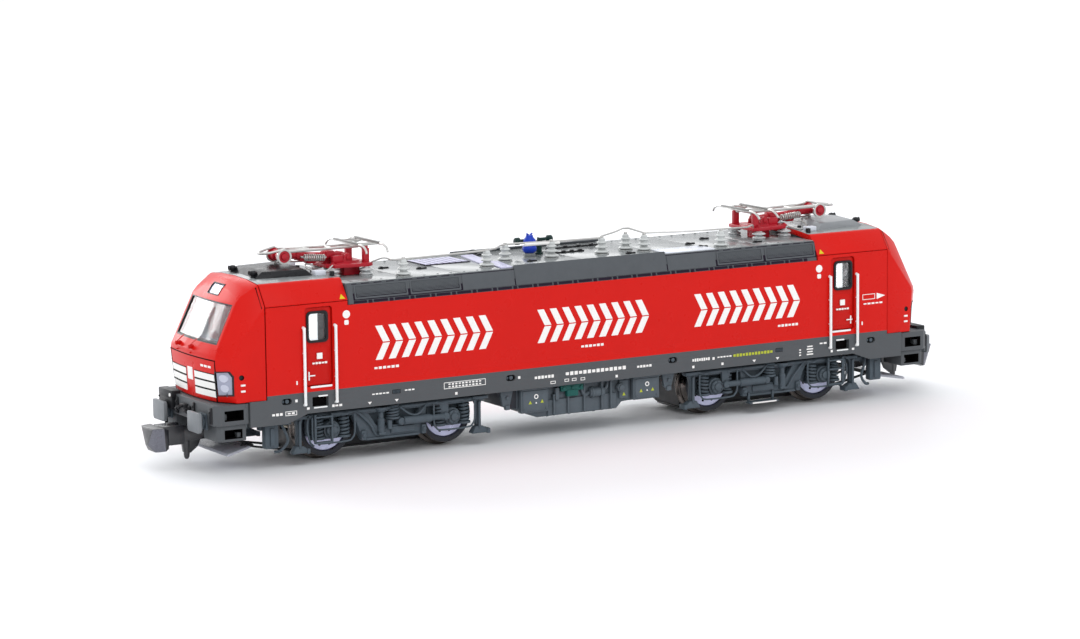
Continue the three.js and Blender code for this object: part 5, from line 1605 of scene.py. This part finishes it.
def make_bogie_side(end, sign, name, side):
    form = Form(0)
    p = PIVOT_X
    bogie_frame(form)
    bogie_middle(form)
    for offset in (-HALF_BASE, HALF_BASE):
        axlebox(form, p + offset)
    foot(form, p - 13.3, 1.0)
    foot(form, p + 14.2, 0.9)
    form.box(p - 14.6, p - 12.2, 7.2, 8.4, 6.5, 6.95, 0.1)
    form.box(p + 12.6, p + 15.2, 7.0, 8.0, 6.3, 6.75, 0.1)
    ladder(form, p + 9.6, p + 12.1)
    form.box(p + 17.3, p + 19.3, 6.9, 8.1, 2.8, 6.0, 0.2)
    form.box(p + 16.8, p + 19.6, 6.0, 7.0, 5.2, 5.85, 0.1)
    form.box(p + 15.0, p + 17.4, 6.6, 7.3, 5.7, 6.3, 0.08)
    form.box(p + 18.0, p + 18.6, 8.0, 8.3, 3.2, 5.6, 0.06)
    form.pipe(smooth_path([(p + 16.9, 7.4, 6.3), (p + 16.4, 7.9, 5.2), (p + 15.9, 7.9, 3.6),
                           (p + 16.8, 7.6, 2.4), (p + 17.6, 7.2, 2.2)], 5), 0.2, 8)
    form.pipe(smooth_path([(p + 12.8, 7.9, 6.5), (p + 13.1, 8.2, 5.0), (p + 12.7, 8.1, 3.2),
                           (p + 12.0, 7.8, 2.5)], 5), 0.14, 8)
    extra = end == "rear" and name == "right"
    if extra:
        form.box(p - 4.3, p + 0.6, 7.9, 9.2, 1.55, 1.8, 0.06)
        for dx in (-3.9, 0.2):
            form.box(p + dx - 0.15, p + dx + 0.15, 7.9, 8.3, 1.7, 3.0, 0.05)
        form.paint = 1
        form.box(p - 3.9, p + 0.2, 9.12, 9.26, 1.58, 1.78, 0.03)
    form.finish(f"bogie_side_{end}_{name}", f"bogie_{end}", "slate_plastic", [M["bogie"], M["white"]],
                [f"side_frame_{end}_{name}"], flip_x=sign < 0, flip_y=side < 0)


def make_keeper(end, sign):
    """The keeper under the gears, and the bright rail guard hung in front of it."""
    p = PIVOT_X
    form = Form(0)
    form.box(p - 12.5, p + 12.5, -2.9, 2.9, 0.85, 1.15, 0.1)
    form.box(p - 10.5, p + 10.5, -2.2, 2.2, 0.75, 0.9, 0.04)
    for dx in (-11.6, -5.0, 5.0, 11.6):
        form.drum("z", (p + dx, 0), 0.5, 0.7, 0.95, 14, 0.05)
    for side in (1, -1):
        form.hull([(p + x, side * y, z) for x, z in ((12.0, 0.9), (12.3, 1.3), (20.6, 2.6), (21.2, 2.9))
                   for y in (2.0, 2.6)], 0.06)
    form.paint = 1
    blade = [(19.9, 2.85), (20.2, 3.1), (24.2, 2.55), (24.5, 2.25), (24.1, 2.2)]
    half = {19.9: 5.4, 20.2: 5.4, 24.2: 6.9, 24.5: 6.9, 24.1: 6.9}
    form.hull([(p + x, s * half[x], z) for x, z in blade for s in (1, -1)], 0.06)
    form.paint = 0
    form.box(p + 19.8, p + 20.5, -5.5, 5.5, 2.9, 3.25, 0.06)
    lug = ((20.3, 2.9), (21.5, 2.7), (20.2, 3.4), (20.8, 3.4))
    for side in (1, -1):
        form.hull([(p + x, side * y, z) for x, z in lug for y in (4.2, 4.6)], 0.05)
    form.finish(f"keeper_{end}", f"bogie_{end}", "slate_plastic", [M["black"], M["blade"]],
                [f"keeper_plate_{end}"], flip_x=sign < 0)


make_tank()
for end, sign in ENDS:
    make_buffer_beam(end, sign)
    make_buffers(end, sign)
    make_coupler(end, sign)
    make_keeper(end, sign)
    for place, offset in (("outer", HALF_BASE), ("inner", -HALF_BASE)):
        make_wheelset(end, sign, place, offset)
    for name, side in SIDES:
        make_bogie_side(end, sign, name, side)


# ------------------------------------------------------------------ printed marks

PRINT = (-9.34, -9.2)
LIVERY_Z = (13.6, 18.25)
LIVERY_SPANS = ((-33.9, -15.7), (-8.7, 9.4), (16.9, 34.9))


def dash(form, x, z, width, height):
    """One small printed block, centred on x and z."""
    w, h = width / 2, height / 2
    form.plate([(x - w, z - h), (x + w, z - h), (x + w, z + h), (x - w, z + h)], *PRINT, "xz", bevel=0)


def dashes(form, x0, x1, z, height, count, fill=0.72):
    """A row of blocks that stands where the object carries a line of print."""
    pitch = (x1 - x0) / count
    for i in range(count):
        dash(form, x0 + pitch * (i + 0.5), z, pitch * fill, height * (1.0 if i % 3 else 0.8))


def frame_mark(form, x, z, width, height, line=0.08):
    w, h = width / 2, height / 2
    outer = [(x - w, z - h), (x + w, z - h), (x + w, z + h), (x - w, z + h)]
    inner = [(x + math.copysign(w - line, u - x), z + math.copysign(h - line, v - z)) for u, v in outer]
    form.plate(outer, *PRINT, "xz", holes=[inner], bevel=0)


def chevron(form, x, z0, z1, width, reach, gap=0.16):
    """A right-pointing chevron split along its middle."""
    middle = (z0 + z1) / 2
    for edge, side in ((z0, -1), (z1, 1)):
        inner = middle + side * gap / 2
        lean = reach * (1 - gap / (z1 - z0))
        outline = [(x, edge), (x + width, edge), (x + width + lean, inner), (x + lean, inner)]
        form.plate(outline, *PRINT, "xz", bevel=0)


def livery(form):
    """Three wide bands of split chevrons along the side, with a short line under each."""
    z0, z1 = LIVERY_Z
    count, width, reach = 9, 1.05, 1.2
    for x0, x1 in LIVERY_SPANS:
        pitch = (x1 - x0 - width - reach) / (count - 1)
        for i in range(count):
            chevron(form, x0 + pitch * i, z0, z1, width, reach)
    for x0, x1 in ((-34.2, -30.3), (-1.8, 2.0), (31.0, 34.6)):
        dashes(form, x0, x1, 12.5, 0.34, 6)


def door_marks(form, sign):
    x = 42.3 * sign
    dash(form, x, 14.95, 0.8, 0.8)
    dashes(form, x - 1.15, x + 1.15, 14.0, 0.26, 5)
    form.plate(list(arc((38.2 * sign, 20.2), 0.55, 0, 345, 23)), *PRINT, "xz", bevel=0)
    form.plate(rounded(38.2 * sign - 0.32, 38.2 * sign + 0.32, 18.78, 19.42, 0.16), *PRINT, "xz", bevel=0)
    dash(form, 45.75 * sign, 11.6, 0.2, 0.5)
    dash(form, 40.4 * sign, 8.0, 0.35, 0.35)
    dash(form, 44.15 * sign, 8.0, 0.4, 0.3)


def sill_marks(form):
    """The small print along the grey sill."""
    for x0, x1, z, height, count in (
        (-49.6, -47.9, 7.6, 0.35, 3), (-40.2, -39.0, 8.0, 0.3, 2), (-34.6, -31.9, 8.97, 0.2, 5),
        (-29.6, -28.0, 9.06, 0.2, 3), (-9.3, -6.1, 8.8, 0.42, 6), (-4.35, 5.6, 8.9, 0.5, 14),
        (7.3, 9.8, 8.8, 0.34, 5), (16.5, 19.5, 8.85, 0.42, 8), (20.7, 23.2, 8.9, 0.2, 5),
        (38.2, 39.6, 9.3, 0.25, 2),
    ):
        dashes(form, x0, x1, z, height, count)
    for x, z, width, height in ((-46.7, 7.6, 1.7, 0.6), (-20.25, 9.05, 6.5, 0.9), (-6.3, 7.9, 0.8, 0.4),
                                (-4.1, 8.0, 0.7, 0.4), (-2.9, 8.0, 0.7, 0.4), (-1.5, 7.95, 0.7, 0.4)):
        frame_mark(form, x, z, width, height)
    for z in (8.86, 9.22):
        dashes(form, -22.9, -17.6, z, 0.22, 10, 0.6)
    dashes(form, -47.3, -46.1, 7.6, 0.25, 2)
    for x, z in ((-21.6, 7.85), (4.0, 7.8), (16.7, 7.9), (21.6, 7.9), (20.1, 8.8), (-45.9, 9.2),
                 (-11.7, 9.1)):
        dash(form, x, z, 0.36, 0.36)
    for x in (-34.9, -30.8, 27.0, 31.0):
        form.plate([(x, 7.62), (x + 0.3, 7.98), (x - 0.3, 7.98)], *PRINT, "xz", bevel=0)
    for x in (34.9, 36.6):
        for i in range(3 + int(x > 35)):
            dash(form, x, 7.9 + 0.38 * i, 0.3 if x < 35 else 1.1 - 0.2 * (i % 2), 0.18)


def on_shoulder(u, v, w):
    """Lays (along, up) on the sloping shoulder above the door, w out from it."""
    return u, -9.22 + (v - 22.3) * 0.71 + w, v


def make_marks():
    for name, sign in SIDES:
        flip = dict(flip_x=sign > 0, flip_y=sign > 0)
        white, colour = Form(), Form()
        livery(white)
        sill_marks(white)
        for end_sign in (1, -1):
            door_marks(white, end_sign)
        frame_mark(white, 46.9, 15.4, 2.2, 0.8)
        white.plate([(48.3, 14.95), (49.8, 15.4), (48.3, 15.85)], *PRINT, "xz", bevel=0)
        dashes(white, 45.9, 49.4, 14.4, 0.24, 5)
        dashes(colour, 23.4, 30.2, 8.9, 0.42, 13)
        colour.paint = 1
        for x in (-38.7, 38.7):
            triangle = [(x - 0.42, 22.32), (x + 0.42, 22.32), (x, 22.92)]
            colour.plate(triangle, -0.05, 0.1, place=on_shoulder, bevel=0)
        white.finish(f"print_white_{name}", "locomotive", "shell_red", [M["white"]], **flip)
        colour.finish(f"print_colour_{name}", "locomotive", "shell_red", [M["lime"], M["yellow"]], **flip)


def make_nose_marks(end, sign):
    form = Form()
    for i in range(3):
        y = -3.2 - 0.95 * i
        form.plate(bar(y - 0.7, y, 14.1, 14.4), 45, 62, "yz", bevel=0)
    skin(form, 0.03, 0.2)
    for z in (12.0, 11.2):
        form.box(53.3, 53.9, -9.25, -8.5, z - 0.12, z + 0.12, 0)
    form.finish(f"print_nose_{end}", "locomotive", "shell_red", [M["white"]],
                                 flip_x=sign < 0)


# ------------------------------------------------------------------ working parts inside

INSIDE = {
    "chassis_frame": "zinc",
    "motor_case": "steel",
    "motor_shaft": "steel",
    "flywheel": "brass",
    "worm_wheel": "brass",
    "worm": "brass",
    "circuit_board": "board",
    "idler_gear": "gear",
    "axle_gear": "gear",
    "gearcase": "black",
    "light_guide": "glass",
}


def finish_inside():
    """Finishes for the CAD nodes that are shown as they are."""
    for name, obj in sorted(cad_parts.items()):
        finish = next((look for prefix, look in INSIDE.items() if name.startswith(prefix)), None)
        if finish:
            for material_slot in obj.material_slots:
                material_slot.material = M[finish]


make_marks()
for end, sign in ENDS:
    make_nose_marks(end, sign)
finish_inside()
